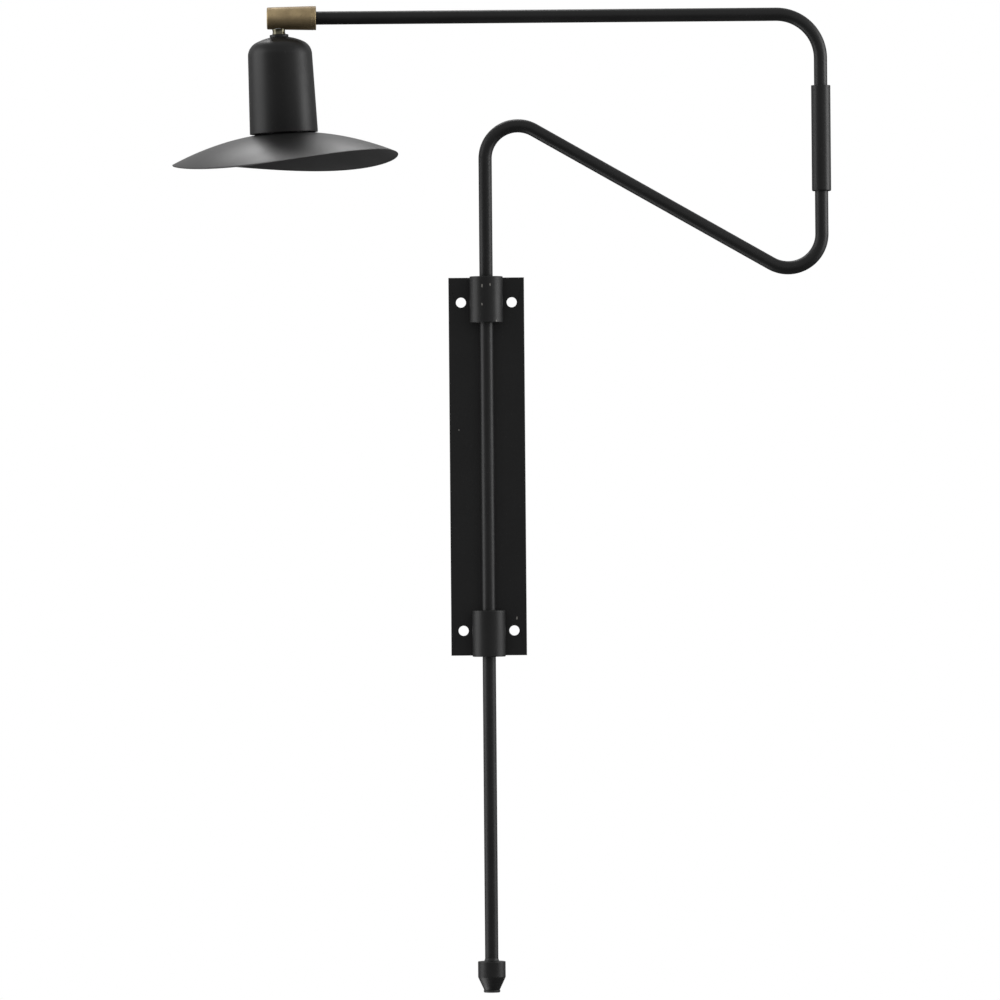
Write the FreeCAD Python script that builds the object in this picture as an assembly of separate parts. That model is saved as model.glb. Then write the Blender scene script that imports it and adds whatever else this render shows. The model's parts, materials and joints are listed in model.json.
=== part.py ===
import FreeCAD, Part
import math
import os

# Swing-arm wall lamp: a wall plate with two collars, a mast with a lower arm, an upper arm that
# turns in a sleeve on the lower arm, and a brass barrel that carries the lamp head.
# Millimetres. The origin is the centre of the plate's wall face, +Z is up, +X is to the right as
# seen from the room, and +Y points into the wall. The arms rest flat, parallel to the wall.

# Fits
running_gap = 0.05        # radial gap between a turning piece and its bush
face_gap = 0.1            # axial gap between faces that turn on each other
seat_gap = 0.3            # gap around pieces that only lie in place
press_edge = 0.4          # small chamfer on turned edges
cut_margin = 1.0          # how far a hole's cutter runs past the face that it opens

# Wall plate and its screws
plate_width = 76.2
plate_height = 381.0
plate_thickness = 4.8
plate_edge_radius = 0.6
wall_hole_diameter = 10.2
wall_hole_side_inset = 12.5
wall_hole_end_inset = 25.0

# Collars, their bushes and the screws that hold them to the plate
collar_diameter = 33.4
collar_length = 46.6
collar_overhang = 0.8
collar_flat_depth = 0.6
collar_edge = 0.7
bush_wall = 2.0
bush_end_inset = 1.2
collar_screw_diameter = 5.0
collar_screw_head_diameter = 9.6
collar_screw_head_height = 2.6
collar_screw_key = 3.0
collar_screw_key_depth = 2.1
collar_screw_pitch = 24.0
collar_screw_backing = 1.3    # metal left between a screw's hole and the bush

# Tube of the mast and of both arms
tube_diameter = 13.4
tube_wall = 1.2
tube_end_round = 1.0
flex_diameter = 6.0

# Mast coupling, which hangs the mast on the upper bush
coupling_flange_diameter = 17.9
coupling_flange_thickness = 1.2
coupling_neck_diameter = 11.2
coupling_neck_height = 2.6
coupling_spigot_length = 24.0

# Lower arm
arm_reach = 338.3             # from the mast's axis to the swivel's axis
mast_rise = 151.2             # from the upper collar's top to the crest of the first bend
first_bend_radius = 32.9
second_bend_radius = 34.2
diagonal_slope = 29.8
swivel_rise = 95.9            # from the second bend's centre to the middle of the sleeve

# Mast below the plate and its cord outlet
tail_length = 306.6           # from the lower collar to the outlet cap
cap_diameter = 27.8
cap_straight = 15.8
cap_cone = 13.1
cap_nose_diameter = 15.6
cap_fillet_height = 3.0
cap_fillet_width = 1.9
cap_socket_depth = 10.0
outlet_bore_diameter = 8.0
grommet_lip_diameter = 16.6
grommet_lip_height = 2.4
grommet_stem_diameter = 11.6
grommet_stem_length = 6.0

# Swivel sleeve between the two arms
sleeve_diameter = 19.4
sleeve_length = 106.6
sleeve_edge = 1.4
sleeve_bush_wall = 1.0
sleeve_bush_inset = 1.0
sleeve_shoulder_drop = 6.0    # from the middle of the sleeve down to the lower tube's end
thrust_washer_thickness = 1.5
ferrule_flange_height = 3.4
ferrule_groove_height = 3.0
ferrule_spigot_length = 20.0
keeper_tip_diameter = 2.4
grub_diameter = 4.0
grub_key = 2.0
sleeve_grub_height = 16.0     # from the sleeve's lower end

# Upper arm
arm_rise = 125.1              # from the middle of the sleeve to the arm's axis
upper_bend_radius = 44.5
neck_reach = 545.3            # from the swivel's axis to the lamp's neck

# Brass barrel on the end of the upper arm
barrel_closed_diameter = 22.2     # at the closed end
barrel_open_diameter = 24.2       # at the lock ring, so that the barrel tapers a little
barrel_left = 11.3            # from the neck's axis to the closed end
barrel_right = 33.8           # from the neck's axis to the lock ring
barrel_edge = 0.9
lock_ring_diameter = 24.3
lock_ring_width = 4.2
barrel_cavity_diameter = 15.6
barrel_plug_thickness = 3.0
arm_end_reach = 14.0          # from the neck's axis to the arm's end
end_bush_flange_thickness = 2.0
end_bush_spigot_length = 14.0
tilt_grub_place = 24.0
lead_diameter = 4.0
lead_bend_radius = 6.0

# Neck of the lamp head; heights are distances below the barrel's axis
head_lean = 2.4
neck_flat_drop = 10.7
stud_seat_drop = 8.1
stud_diameter = 10.0
stud_head_diameter = 13.0
stud_head_thickness = 2.0
spacer_diameter = 13.5
spacer_waist = 0.35
neck_washer_drop = 16.1
neck_washer_diameter = 18.9
neck_washer_dome = 0.4

# Lamp cup
cup_drop = 18.2               # from the barrel's axis to the crown
cup_height = 97.4
cup_rim_diameter = 68.7
cup_taper = 1.45
cup_crown_radius = 54.0
cup_knuckle_radius = 15.3
cup_wall = 1.2
inner_washer_diameter = 22.0
inner_washer_thickness = 1.2
lock_nut_flats = 17.0
lock_nut_height = 5.0

# Lamp socket
socket_cap_drop = 30.0
socket_cap_height = 25.0
socket_cap_wall = 1.6
socket_cap_slope = 6.4        # fall of the cap's shoulder from its hub to its side
socket_hub_diameter = 17.0
socket_hub_height = 8.0
socket_diameter = 39.6
socket_length = 71.0
socket_flange_diameter = 48.0
socket_flange_height = 4.0
screw_shell_bore = 26.5
screw_shell_wall = 0.5
screw_shell_length = 25.0
contact_diameter = 9.0
contact_thickness = 0.8
contact_lift = 3.0
terminal_screw_diameter = 3.5
terminal_screw_length = 7.0
terminal_screw_pitch = 22.0
terminal_head_diameter = 7.0
terminal_head_height = 1.8
terminal_slot_width = 0.7
terminal_slot_depth = 0.9

# Shade: a shallow dome of thin sheet whose rim droops on two opposite sides
shade_diameter = 227.9
shade_base_drop = 138.9       # from the barrel's axis to the rim's two high points
shade_rise = 24.1
shade_fold_drop = 12.4
shade_fold_direction = -30.5  # degrees from +X of the ridge between the two drooping sides
shade_sheet = 1.0
shade_ring_diameter = 53.0
shade_ring_height = 8.0

# Sizes and places that follow
Vec = FreeCAD.Vector
UP = Vec(0, 0, 1)
tube_radius = tube_diameter / 2
bore_radius = tube_radius - tube_wall
flex_radius = flex_diameter / 2
flex_hole_radius = flex_radius + seat_gap
lead_radius = lead_diameter / 2
lead_hole_radius = lead_radius + seat_gap
bush_inner = tube_radius + running_gap
bush_outer = bush_inner + bush_wall
mast_y = -(plate_thickness + collar_diameter / 2 - collar_flat_depth)
collar_end = plate_height / 2 + collar_overhang
first_bend_z = collar_end + mast_rise - first_bend_radius
slope = math.radians(diagonal_slope)
bend_radii = first_bend_radius + second_bend_radius
diagonal_run = (arm_reach - bend_radii * (1 + math.sin(slope))) / math.cos(slope)
second_bend_x = arm_reach - second_bend_radius
second_bend_z = first_bend_z + bend_radii * math.cos(slope) - diagonal_run * math.sin(slope)
sleeve_z = second_bend_z + swivel_rise
sleeve_bottom = sleeve_z - sleeve_length / 2
sleeve_top = sleeve_z + sleeve_length / 2
lower_arm_end = sleeve_z - sleeve_shoulder_drop
ferrule_bottom = lower_arm_end + thrust_washer_thickness + face_gap
groove_bottom = ferrule_bottom + ferrule_flange_height
upper_arm_start = groove_bottom + ferrule_groove_height
sleeve_bush_outer = bush_inner + sleeve_bush_wall
arm_z = sleeve_z + arm_rise
neck_x = arm_reach - neck_reach
cap_top = -collar_end - tail_length
cap_nose = cap_top - cap_straight - cap_cone
coupling_seat = collar_end - bush_end_inset - coupling_flange_thickness
coupling_neck_base = coupling_seat + coupling_flange_thickness
arm_tube_foot = collar_end + coupling_neck_height


def turned(*outline):
    """A solid turned about the Z axis from (radius, height) corners."""
    corners = [Vec(radius, 0, height) for radius, height in outline]
    wire = Part.makePolygon(corners + corners[:1])
    return Part.Face(wire).revolve(Vec(), UP, 360)


def ring(outer, inner, bottom, top, edge=0.0):
    """A turned ring, with a chamfer on its two outer corners."""
    if edge == 0.0:
        return turned((inner, bottom), (outer, bottom), (outer, top), (inner, top))
    return turned((inner, bottom), (outer - edge, bottom), (outer, bottom + edge),
                  (outer, top - edge), (outer - edge, top), (inner, top))


def rod(radius, bottom, top):
    """A plain round rod along Z."""
    return Part.makeCylinder(radius, top - bottom, Vec(0, 0, bottom))


def hexagon(across_flats, bottom, top):
    """A six-sided bar along Z."""
    corner = across_flats / math.sqrt(3)
    angles = [math.tau * turn / 6 for turn in range(7)]
    outline = Part.makePolygon([Vec(corner * math.cos(a), corner * math.sin(a), bottom) for a in angles])
    return Part.Face(outline).extrude(Vec(0, 0, top - bottom))


def grub_screw(tip, outer_end):
    """A headless screw along Z with a hexagon socket in its outer end."""
    length = outer_end - tip
    body = ring(grub_diameter / 2, 0, tip, outer_end, min(press_edge, length / 4))
    return body.cut(hexagon(grub_key, outer_end - length / 2, outer_end + cut_margin))


def facing_wall(shape):
    """Turn a piece from +Z to +Y, towards the wall."""
    return shape.rotated(Vec(), Vec(1, 0, 0), -90)


def facing_room(shape):
    """Turn a piece from +Z to -Y, towards the room."""
    return shape.rotated(Vec(), Vec(1, 0, 0), 90)


def on_mast(shape, height=0.0):
    return shape.translated(Vec(0, mast_y, height))


def on_swivel(shape, height=0.0):
    return shape.translated(Vec(arm_reach, mast_y, height))


def on_barrel(shape):
    """Lay a piece that was turned about Z along the upper arm; its height becomes +X from the neck."""
    return shape.rotated(Vec(), Vec(0, 1, 0), 90).translated(Vec(neck_x, mast_y, arm_z))


def in_head(shape):
    """Hang a piece, modelled upright about the neck, at the head's lean."""
    return shape.rotated(Vec(), Vec(0, 1, 0), -head_lean).translated(Vec(neck_x, mast_y, arm_z))


def arc(centre_x, centre_z, radius, start, end):
    """An arc in the arms' plane; angles are in degrees from +X towards +Z."""
    angles = [math.radians(angle) for angle in (start, (start + end) / 2, end)]
    points = [Vec(centre_x + radius * math.cos(a), mast_y, centre_z + radius * math.sin(a)) for a in angles]
    return Part.Arc(*points).toShape()


def joined_path(start, arcs, end):
    """A wire from start to end through arcs, with the straight runs between them filled in."""
    edges = []
    here = start
    for edge in arcs:
        first, last = edge.valueAt(edge.FirstParameter), edge.valueAt(edge.LastParameter)
        edges.append(Part.LineSegment(here, first).toShape())
        edges.append(edge)
        here = last
    edges.append(Part.LineSegment(here, end).toShape())
    return Part.Wire(edges)


def swept(path, direction, outer, inner=0.0):
    """A round bar or tube along a path that starts in the given direction."""
    start = path.OrderedVertexes[0].Point
    section = Part.Face(Part.Wire(Part.makeCircle(outer, start, direction)))
    if inner > 0.0:
        section = section.cut(Part.Face(Part.Wire(Part.makeCircle(inner, start, direction)))).Faces[0]
    body = path.makePipe(section)
    area = math.pi * (outer ** 2 - inner ** 2)
    print("swept volume", round(body.Volume), "section times length", round(area * path.Length))
    return body


def lower_arm_path(start_z, end_z):
    """Up the mast, over the first bend, down the diagonal and up to the swivel."""
    first = arc(first_bend_radius, first_bend_z, first_bend_radius, 180, 90 - diagonal_slope)
    second = arc(second_bend_x, second_bend_z, second_bend_radius, 270 - diagonal_slope, 360)
    return joined_path(Vec(0, mast_y, start_z), [first, second], Vec(arm_reach, mast_y, end_z))


def upper_arm_path(start_z, end_x):
    """Up from the swivel, round the corner and along to the barrel."""
    corner = arc(arm_reach - upper_bend_radius, arm_z - upper_bend_radius, upper_bend_radius, 0, 90)
    return joined_path(Vec(arm_reach, mast_y, start_z), [corner], Vec(end_x, mast_y, arm_z))


# Wall bracket


def collar_screw_heights():
    """Heights of the four screws, two in each collar."""
    middle = collar_end - collar_length / 2
    return [side * middle + step * collar_screw_pitch / 2 for side in (1, -1) for step in (1, -1)]


def collar_screw_solid(gap, extra):
    """A countersunk screw along Z, its head flush at zero; gap and extra make its hole instead."""
    radius = collar_screw_diameter / 2
    tip = plate_thickness + collar_diameter / 2 - collar_flat_depth - bush_outer - collar_screw_backing
    head = collar_screw_head_diameter / 2 + gap
    shank = radius + gap
    cone_end = collar_screw_head_height + gap
    return turned((0, 0), (head, 0), (head, press_edge), (shank, cone_end), (shank, plate_thickness),
                  (radius, plate_thickness), (radius, tip + extra), (0, tip + extra))


def wall_plate():
    half_width, half_height = plate_width / 2, plate_height / 2
    body = Part.makeBox(plate_width, plate_thickness, plate_height,
                        Vec(-half_width, -plate_thickness, -half_height))
    front = [edge for edge in body.Edges if edge.BoundBox.YMax < -plate_thickness + 0.001]
    body = body.makeFillet(plate_edge_radius, front)
    hole_x, hole_z = half_width - wall_hole_side_inset, half_height - wall_hole_end_inset
    for x in (-hole_x, hole_x):
        for z in (-hole_z, hole_z):
            hole = facing_room(rod(wall_hole_diameter / 2, -cut_margin, plate_thickness + cut_margin))
            body = body.cut(hole.translated(Vec(x, 0, z)))
    for z in collar_screw_heights():
        hole = facing_room(collar_screw_solid(running_gap, cut_margin))
        body = body.cut(hole.translated(Vec(0, 0, z)))
    return body


def collar_screws():
    """Four screws that hold the collars, put in from the wall side of the plate."""
    recess = hexagon(collar_screw_key, -cut_margin, collar_screw_key_depth)
    screw = facing_room(collar_screw_solid(0.0, 0.0).cut(recess))
    return Part.makeCompound([screw.translated(Vec(0, 0, z)) for z in collar_screw_heights()])


def collar(side):
    """A thick round collar, side 1 the upper and -1 the lower; the upper has a recess for the flange."""
    far, near = side * collar_end, side * (collar_end - collar_length)
    body = ring(collar_diameter / 2, bush_outer, min(far, near), max(far, near), collar_edge)
    if side > 0:
        recess = coupling_flange_diameter / 2 + seat_gap
        body = body.cut(rod(recess, coupling_seat - face_gap, collar_end + cut_margin))
    body = on_mast(body)
    behind = Part.makeBox(collar_diameter, collar_diameter, 2 * plate_height,
                          Vec(-collar_diameter / 2, -plate_thickness, -plate_height))
    body = body.cut(behind)
    for z in collar_screw_heights():
        if side * z > 0:
            hole = facing_room(collar_screw_solid(0.0, seat_gap))
            body = body.cut(hole.translated(Vec(0, 0, z)))
    return body


def collar_bush(side):
    """A plastic bush inside a collar; the upper one also carries the mast's flange."""
    far, near = side * collar_end, side * (collar_end - collar_length)
    bottom = min(far, near) + bush_end_inset
    top = max(far, near) - bush_end_inset
    if side > 0:
        top = coupling_seat - face_gap
    return on_mast(ring(bush_outer, bush_inner, bottom, top))


# Mast and lower arm


def mast_coupling():
    """Hollow joint between mast and arm tubes; its flange turns on the upper bush."""
    spigot = bore_radius
    low = coupling_seat - coupling_spigot_length
    high = arm_tube_foot + coupling_spigot_length
    return on_mast(turned(
        (flex_hole_radius, low), (spigot, low), (spigot, coupling_seat),
        (coupling_flange_diameter / 2, coupling_seat),
        (coupling_flange_diameter / 2, coupling_neck_base),
        (coupling_neck_diameter / 2, coupling_neck_base),
        (coupling_neck_diameter / 2, arm_tube_foot),
        (spigot, arm_tube_foot), (spigot, high), (flex_hole_radius, high)))


def lower_arm_tube():
    """The bent tube from the mast coupling to the swivel, with a rounded foot."""
    body = swept(lower_arm_path(arm_tube_foot, lower_arm_end), UP, tube_radius, bore_radius)
    foot = [edge for edge in body.Edges
            if edge.BoundBox.ZMax < arm_tube_foot + 0.001 and edge.Length > 2 * math.pi * bore_radius + 1]
    return body.makeFillet(tube_end_round, foot)


def mast_tube():
    """The straight tube through both collars down to the outlet cap."""
    return on_mast(ring(tube_radius, bore_radius, cap_top - cap_socket_depth, coupling_seat))


def cord_outlet_cap():
    """Turned cap on the mast's foot, with a cone to its nose and a bore for the cord."""
    outer = cap_diameter / 2
    shoulder = cap_top - cap_straight
    socket_floor_z = cap_top - cap_socket_depth
    stem = grommet_stem_diameter / 2
    stem_top = cap_nose + grommet_stem_length
    body = on_mast(turned(
        (tube_radius, cap_top + cap_fillet_height), (tube_radius + cap_fillet_width, cap_top),
        (outer - press_edge, cap_top), (outer, cap_top - press_edge), (outer, shoulder),
        (cap_nose_diameter / 2, cap_nose), (stem, cap_nose), (stem, stem_top),
        (flex_hole_radius, stem_top), (flex_hole_radius, socket_floor_z), (tube_radius, socket_floor_z)))
    hole = facing_wall(rod(grub_diameter / 2, 0, cap_diameter))
    return body.cut(on_mast(hole, cap_top - cap_socket_depth / 2))


def cap_grub_screw():
    """Headless screw that holds the outlet cap on the mast."""
    screw = grub_screw(tube_radius, cap_diameter / 2 - press_edge)
    return on_mast(facing_wall(screw), cap_top - cap_socket_depth / 2)


def outlet_grommet():
    """Rubber grommet in the cap's nose, which the cord leaves through."""
    stem = grommet_stem_diameter / 2
    lip = grommet_lip_diameter / 2
    lip_bottom = cap_nose - grommet_lip_height
    bore = outlet_bore_diameter / 2
    edge = grommet_lip_height / 3
    return on_mast(turned(
        (bore, cap_nose + grommet_stem_length), (stem, cap_nose + grommet_stem_length), (stem, cap_nose),
        (lip, cap_nose), (lip, lip_bottom + edge), (lip - edge, lip_bottom),
        (bore + edge, lip_bottom), (bore, lip_bottom + edge)))


def lower_flex():
    """Supply flex inside the mast and lower arm, up to the swivel."""
    start = cap_nose + grommet_stem_length + seat_gap
    return swept(lower_arm_path(start, ferrule_bottom - seat_gap), UP, flex_radius)


# Swivel


def swivel_sleeve():
    """Sleeve fixed on the lower arm; the upper arm turns in the bush in its upper part."""
    outer = sleeve_diameter / 2
    body = on_swivel(turned(
        (tube_radius, sleeve_bottom), (outer - sleeve_edge, sleeve_bottom),
        (outer, sleeve_bottom + sleeve_edge), (outer, sleeve_top - press_edge),
        (outer - press_edge, sleeve_top), (sleeve_bush_outer, sleeve_top),
        (sleeve_bush_outer, lower_arm_end), (tube_radius, lower_arm_end)))
    hole = facing_wall(rod(grub_diameter / 2, 0, sleeve_diameter))
    for z in (sleeve_bottom + sleeve_grub_height, keeper_height()):
        body = body.cut(on_swivel(hole, z))
    return body


def keeper_height():
    """The middle of the groove that the keeper screw's tip runs in."""
    return groove_bottom + ferrule_groove_height / 2


def sleeve_bush():
    """Plastic bush that the upper arm turns in, with a hole for the keeper's tip."""
    low, high = lower_arm_end + thrust_washer_thickness, sleeve_top - sleeve_bush_inset
    body = on_swivel(ring(sleeve_bush_outer, bush_inner, low, high))
    hole = facing_wall(rod(keeper_tip_diameter / 2, 0, sleeve_diameter))
    return body.cut(on_swivel(hole, keeper_height()))


def swivel_thrust_washer():
    """Washer that the upper arm's ferrule stands on."""
    return on_swivel(ring(sleeve_bush_outer, flex_hole_radius, lower_arm_end,
                          lower_arm_end + thrust_washer_thickness))


def sleeve_grub_screw():
    """Headless screw that fixes the sleeve on the lower arm."""
    screw = grub_screw(tube_radius, sleeve_diameter / 2 - press_edge)
    return on_swivel(facing_wall(screw), sleeve_bottom + sleeve_grub_height)


def keeper_screw():
    """Dog-point screw whose tip runs in the ferrule's groove and keeps the upper arm in."""
    head = grub_screw(sleeve_bush_outer, sleeve_diameter / 2 - press_edge)
    tip = rod(keeper_tip_diameter / 2, bore_radius + seat_gap, sleeve_bush_outer)
    return on_swivel(facing_wall(head.fuse(tip)), keeper_height())


# Upper arm


def upper_arm_tube():
    """The bent tube from the swivel to the brass barrel."""
    path = upper_arm_path(upper_arm_start, neck_x + arm_end_reach)
    return swept(path, UP, tube_radius, bore_radius)


def upper_arm_ferrule():
    """Foot of the upper arm: a flange, the keeper's groove and a spigot in the tube."""
    return on_swivel(turned(
        (flex_hole_radius, ferrule_bottom), (tube_radius, ferrule_bottom), (tube_radius, groove_bottom),
        (bore_radius, groove_bottom), (bore_radius, upper_arm_start + ferrule_spigot_length),
        (flex_hole_radius, upper_arm_start + ferrule_spigot_length)))


def arm_end_bush():
    """Flanged bush in the arm's end, which keeps the barrel on the arm."""
    flange = barrel_cavity_diameter / 2 - seat_gap
    end = arm_end_reach
    return on_barrel(turned(
        (flex_hole_radius, end - end_bush_flange_thickness), (flange, end - end_bush_flange_thickness),
        (flange, end), (bore_radius, end), (bore_radius, end + end_bush_spigot_length),
        (flex_hole_radius, end + end_bush_spigot_length)))


def upper_flex():
    """Supply flex inside the upper arm, up to the barrel."""
    end_x = neck_x + arm_end_reach - end_bush_flange_thickness
    return swept(upper_arm_path(ferrule_bottom, end_x), UP, flex_radius)


# Barrel


def barrel_radius(place):
    """The tapered barrel's radius at a place along it, measured from the neck's axis."""
    share = (place + barrel_left) / (barrel_left + barrel_right)
    return (barrel_closed_diameter + share * (barrel_open_diameter - barrel_closed_diameter)) / 2


def brass_barrel():
    """Barrel that tilts on the arm's end, hollow for the wiring, with a seat for the lamp's stud."""
    closed, opened = barrel_closed_diameter / 2, barrel_open_diameter / 2
    cavity = barrel_cavity_diameter / 2
    step = arm_end_reach + face_gap
    body = on_barrel(turned(
        (cavity, -barrel_left), (closed - barrel_edge, -barrel_left), (closed, -barrel_left + barrel_edge),
        (opened, barrel_right), (bush_inner, barrel_right), (bush_inner, step), (cavity, step)))
    body = body.cut(in_head(rod(stud_head_diameter / 2 + seat_gap, -stud_seat_drop, 0)))
    body = body.cut(in_head(rod(stud_diameter / 2 + running_gap, -barrel_open_diameter, 0)))
    body = body.cut(in_head(rod(spacer_diameter / 2 + seat_gap, -barrel_open_diameter, -neck_flat_drop)))
    hole = facing_wall(rod(grub_diameter / 2, 0, barrel_open_diameter))
    return body.cut(hole.translated(Vec(neck_x + tilt_grub_place, mast_y, arm_z)))


def barrel_lock_ring():
    """Ring at the barrel's open end."""
    return on_barrel(ring(lock_ring_diameter / 2, bush_inner, barrel_right, barrel_right + lock_ring_width,
                          press_edge))


def barrel_end_plug():
    """Disc that closes the barrel's far end."""
    radius = barrel_cavity_diameter / 2
    return on_barrel(ring(radius, 0, -barrel_left, -barrel_left + barrel_plug_thickness))


def tilt_grub_screw():
    """Headless screw that sets how stiffly the barrel turns on the arm."""
    screw = grub_screw(bush_inner, barrel_radius(tilt_grub_place) - press_edge)
    return facing_wall(screw).translated(Vec(neck_x + tilt_grub_place, mast_y, arm_z))


def knuckle_lead():
    """Sleeved lamp leads inside the barrel, from the arm's end round to the stud."""
    start_x = neck_x + arm_end_reach - end_bush_flange_thickness - seat_gap
    bend = arc(neck_x + lead_bend_radius, arm_z - lead_bend_radius, lead_bend_radius, 90, 180)
    first = bend.valueAt(bend.FirstParameter)
    path = Part.Wire([Part.LineSegment(Vec(start_x, mast_y, arm_z), first).toShape(), bend])
    body = swept(path, Vec(-1, 0, 0), lead_radius)
    clear_height = -stud_seat_drop + stud_head_thickness + seat_gap
    return body.cut(in_head(rod(stud_head_diameter, -barrel_open_diameter, clear_height)))


# Neck and cup


def swivel_stud():
    """Hollow stud that hangs in the barrel by its head and carries the lamp head."""
    seat = -stud_seat_drop + face_gap
    end = -socket_cap_drop - socket_hub_height
    radius = stud_diameter / 2
    return in_head(turned(
        (lead_hole_radius, seat + stud_head_thickness), (stud_head_diameter / 2, seat + stud_head_thickness),
        (stud_head_diameter / 2, seat), (radius, seat), (radius, end), (lead_hole_radius, end)))


def neck_spacer():
    """Bright turned spacer between barrel and washer, slightly waisted."""
    outer = spacer_diameter / 2
    top, bottom = -neck_flat_drop - face_gap, -neck_washer_drop
    third = (top - bottom) / 3
    inner = stud_diameter / 2
    return in_head(turned(
        (inner, bottom), (outer, bottom), (outer - spacer_waist, bottom + third),
        (outer - spacer_waist, top - third), (outer, top), (inner, top)))


def neck_washer():
    """Washer between spacer and cup, dished below to sit on the cup's crown."""
    outer = neck_washer_diameter / 2
    top = -neck_washer_drop
    bottom = -cup_drop - cut_margin
    body = turned((stud_diameter / 2, bottom), (outer, bottom), (outer, top - neck_washer_dome),
                  (spacer_diameter / 2, top), (stud_diameter / 2, top))
    return in_head(body.cut(Part.makeSphere(cup_crown_radius, Vec(0, 0, -cup_drop - cup_crown_radius))))


def cup_profile():
    """Centres of the crown and shoulder arcs and the rim's radius and height."""
    taper = math.radians(cup_taper)
    rim_radius, rim_z = cup_rim_diameter / 2, -cup_drop - cup_height
    crown_z = -cup_drop - cup_crown_radius
    side = rim_radius - cup_knuckle_radius / math.cos(taper)
    lift = rim_z - crown_z
    half_b = lift - side * math.tan(taper)
    a = 1 + math.tan(taper) ** 2
    c = side ** 2 + lift ** 2 - (cup_crown_radius - cup_knuckle_radius) ** 2
    height = (-half_b + math.sqrt(half_b ** 2 - a * c)) / a
    shoulder = Vec(side - height * math.tan(taper), 0, rim_z + height)
    return Vec(0, 0, crown_z), shoulder, rim_radius, rim_z


def cup_skin(inset):
    """The cup's outline, moved inwards by the given inset, as edges from the crown to the rim."""
    crown, shoulder, rim_radius, rim_z = cup_profile()
    taper = math.radians(cup_taper)
    towards = (shoulder - crown).normalize()
    lean = math.atan2(towards.x, towards.z)
    start = Vec(0, 0, crown.z + cup_crown_radius - inset)
    crown_mid = crown + Vec(math.sin(lean / 2), 0, math.cos(lean / 2)) * (cup_crown_radius - inset)
    join = crown + towards * (cup_crown_radius - inset)
    middle = (lean + math.pi / 2 - taper) / 2
    knuckle_mid = shoulder + Vec(math.sin(middle), 0, math.cos(middle)) * (cup_knuckle_radius - inset)
    side = shoulder + Vec(math.cos(taper), 0, math.sin(taper)) * (cup_knuckle_radius - inset)
    rim = Vec(rim_radius - inset / math.cos(taper), 0, rim_z)
    return [Part.Arc(start, crown_mid, join).toShape(), Part.Arc(join, knuckle_mid, side).toShape(),
            Part.LineSegment(side, rim).toShape()], start, rim


def head_cup():
    """Spun cup with a domed top, rounded shoulder and slightly flared side, open below."""
    outer, outer_top, outer_rim = cup_skin(0.0)
    inner, inner_top, inner_rim = cup_skin(cup_wall)
    edges = outer + [Part.LineSegment(outer_rim, inner_rim).toShape()] + inner
    edges.append(Part.LineSegment(inner_top, outer_top).toShape())
    body = Part.Face(Part.Wire(Part.__sortEdges__(edges))).revolve(Vec(), UP, 360)
    hole = rod(stud_diameter / 2, -cup_drop - cup_height / 2, 0)
    return in_head(body.cut(hole))


def inner_washer_top():
    """Where a flat washer meets the underside of the cup's domed crown."""
    inside = cup_crown_radius - cup_wall
    sag = inside - math.sqrt(inside ** 2 - (inner_washer_diameter / 2) ** 2)
    return -cup_drop - cup_wall - sag


def cup_inner_washer():
    """Flat washer inside the cup."""
    top = inner_washer_top()
    return in_head(ring(inner_washer_diameter / 2, stud_diameter / 2, top - inner_washer_thickness, top))


def cup_lock_nut():
    """Hexagon nut that clamps the cup between the washers."""
    top = inner_washer_top() - inner_washer_thickness
    nut = hexagon(lock_nut_flats, top - lock_nut_height, top)
    hole = rod(stud_diameter / 2, top - lock_nut_height - cut_margin, top + cut_margin)
    return in_head(nut.cut(hole))


# Lamp socket


def socket_places():
    """Heights of the socket's joint with its cap and of its open mouth."""
    joint = -socket_cap_drop - socket_cap_height
    return joint, joint - socket_length


def socket_cap():
    """Metal cap of the socket, screwed on the stud."""
    joint = socket_places()[0]
    outer, top = socket_diameter / 2, -socket_cap_drop
    hub, hub_end = socket_hub_diameter / 2, top - socket_hub_height
    hole = stud_diameter / 2
    shoulder = top - socket_cap_slope
    return in_head(turned(
        (hole, top), (hub, top), (outer, shoulder), (outer, joint), (outer - socket_cap_wall, joint),
        (outer - socket_cap_wall, shoulder - socket_cap_wall), (hub, top - 2 * socket_cap_wall),
        (hub, hub_end), (hole, hub_end)))


def shell_outer():
    return screw_shell_bore / 2 + screw_shell_wall


def terminal_screw_places():
    return [Vec(side * terminal_screw_pitch / 2, 0, socket_places()[0]) for side in (1, -1)]


def shade_surface_drop(radius, along_ridge):
    """How far below the barrel's axis the shade's upper surface lies at a radius."""
    drop = shade_base_drop - shade_rise * (1 - (2 * radius / shade_diameter) ** 2)
    if along_ridge:
        return drop
    return drop + shade_fold_drop * (2 * radius / shade_diameter) ** 2


def socket_flange_bottom():
    """Underside of the socket's flange, just above the highest part of the shade's hole."""
    return -shade_surface_drop(socket_diameter / 2, True) + face_gap


def socket_body():
    """Insulating body: wiring floor, round well for the screw shell and a flange above the shade."""
    joint, mouth = socket_places()
    outer, well = socket_diameter / 2, shell_outer()
    floor = mouth + screw_shell_length + contact_lift
    flange_bottom = socket_flange_bottom()
    flange_top = flange_bottom + socket_flange_height
    flange = socket_flange_diameter / 2
    body = turned(
        (lead_hole_radius, joint), (outer, joint), (outer, flange_top), (flange, flange_top),
        (flange, flange_bottom), (outer, flange_bottom), (outer, mouth), (well, mouth),
        (well, floor), (lead_hole_radius, floor))
    for place in terminal_screw_places():
        body = body.cut(rod(terminal_screw_diameter / 2, -terminal_screw_length, 0).translated(place))
    return in_head(body)


def screw_shell():
    """Thin metal shell that the bulb's cap screws into."""
    mouth = socket_places()[1]
    return in_head(ring(shell_outer(), screw_shell_bore / 2, mouth + press_edge,
                        mouth + press_edge + screw_shell_length))


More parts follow.
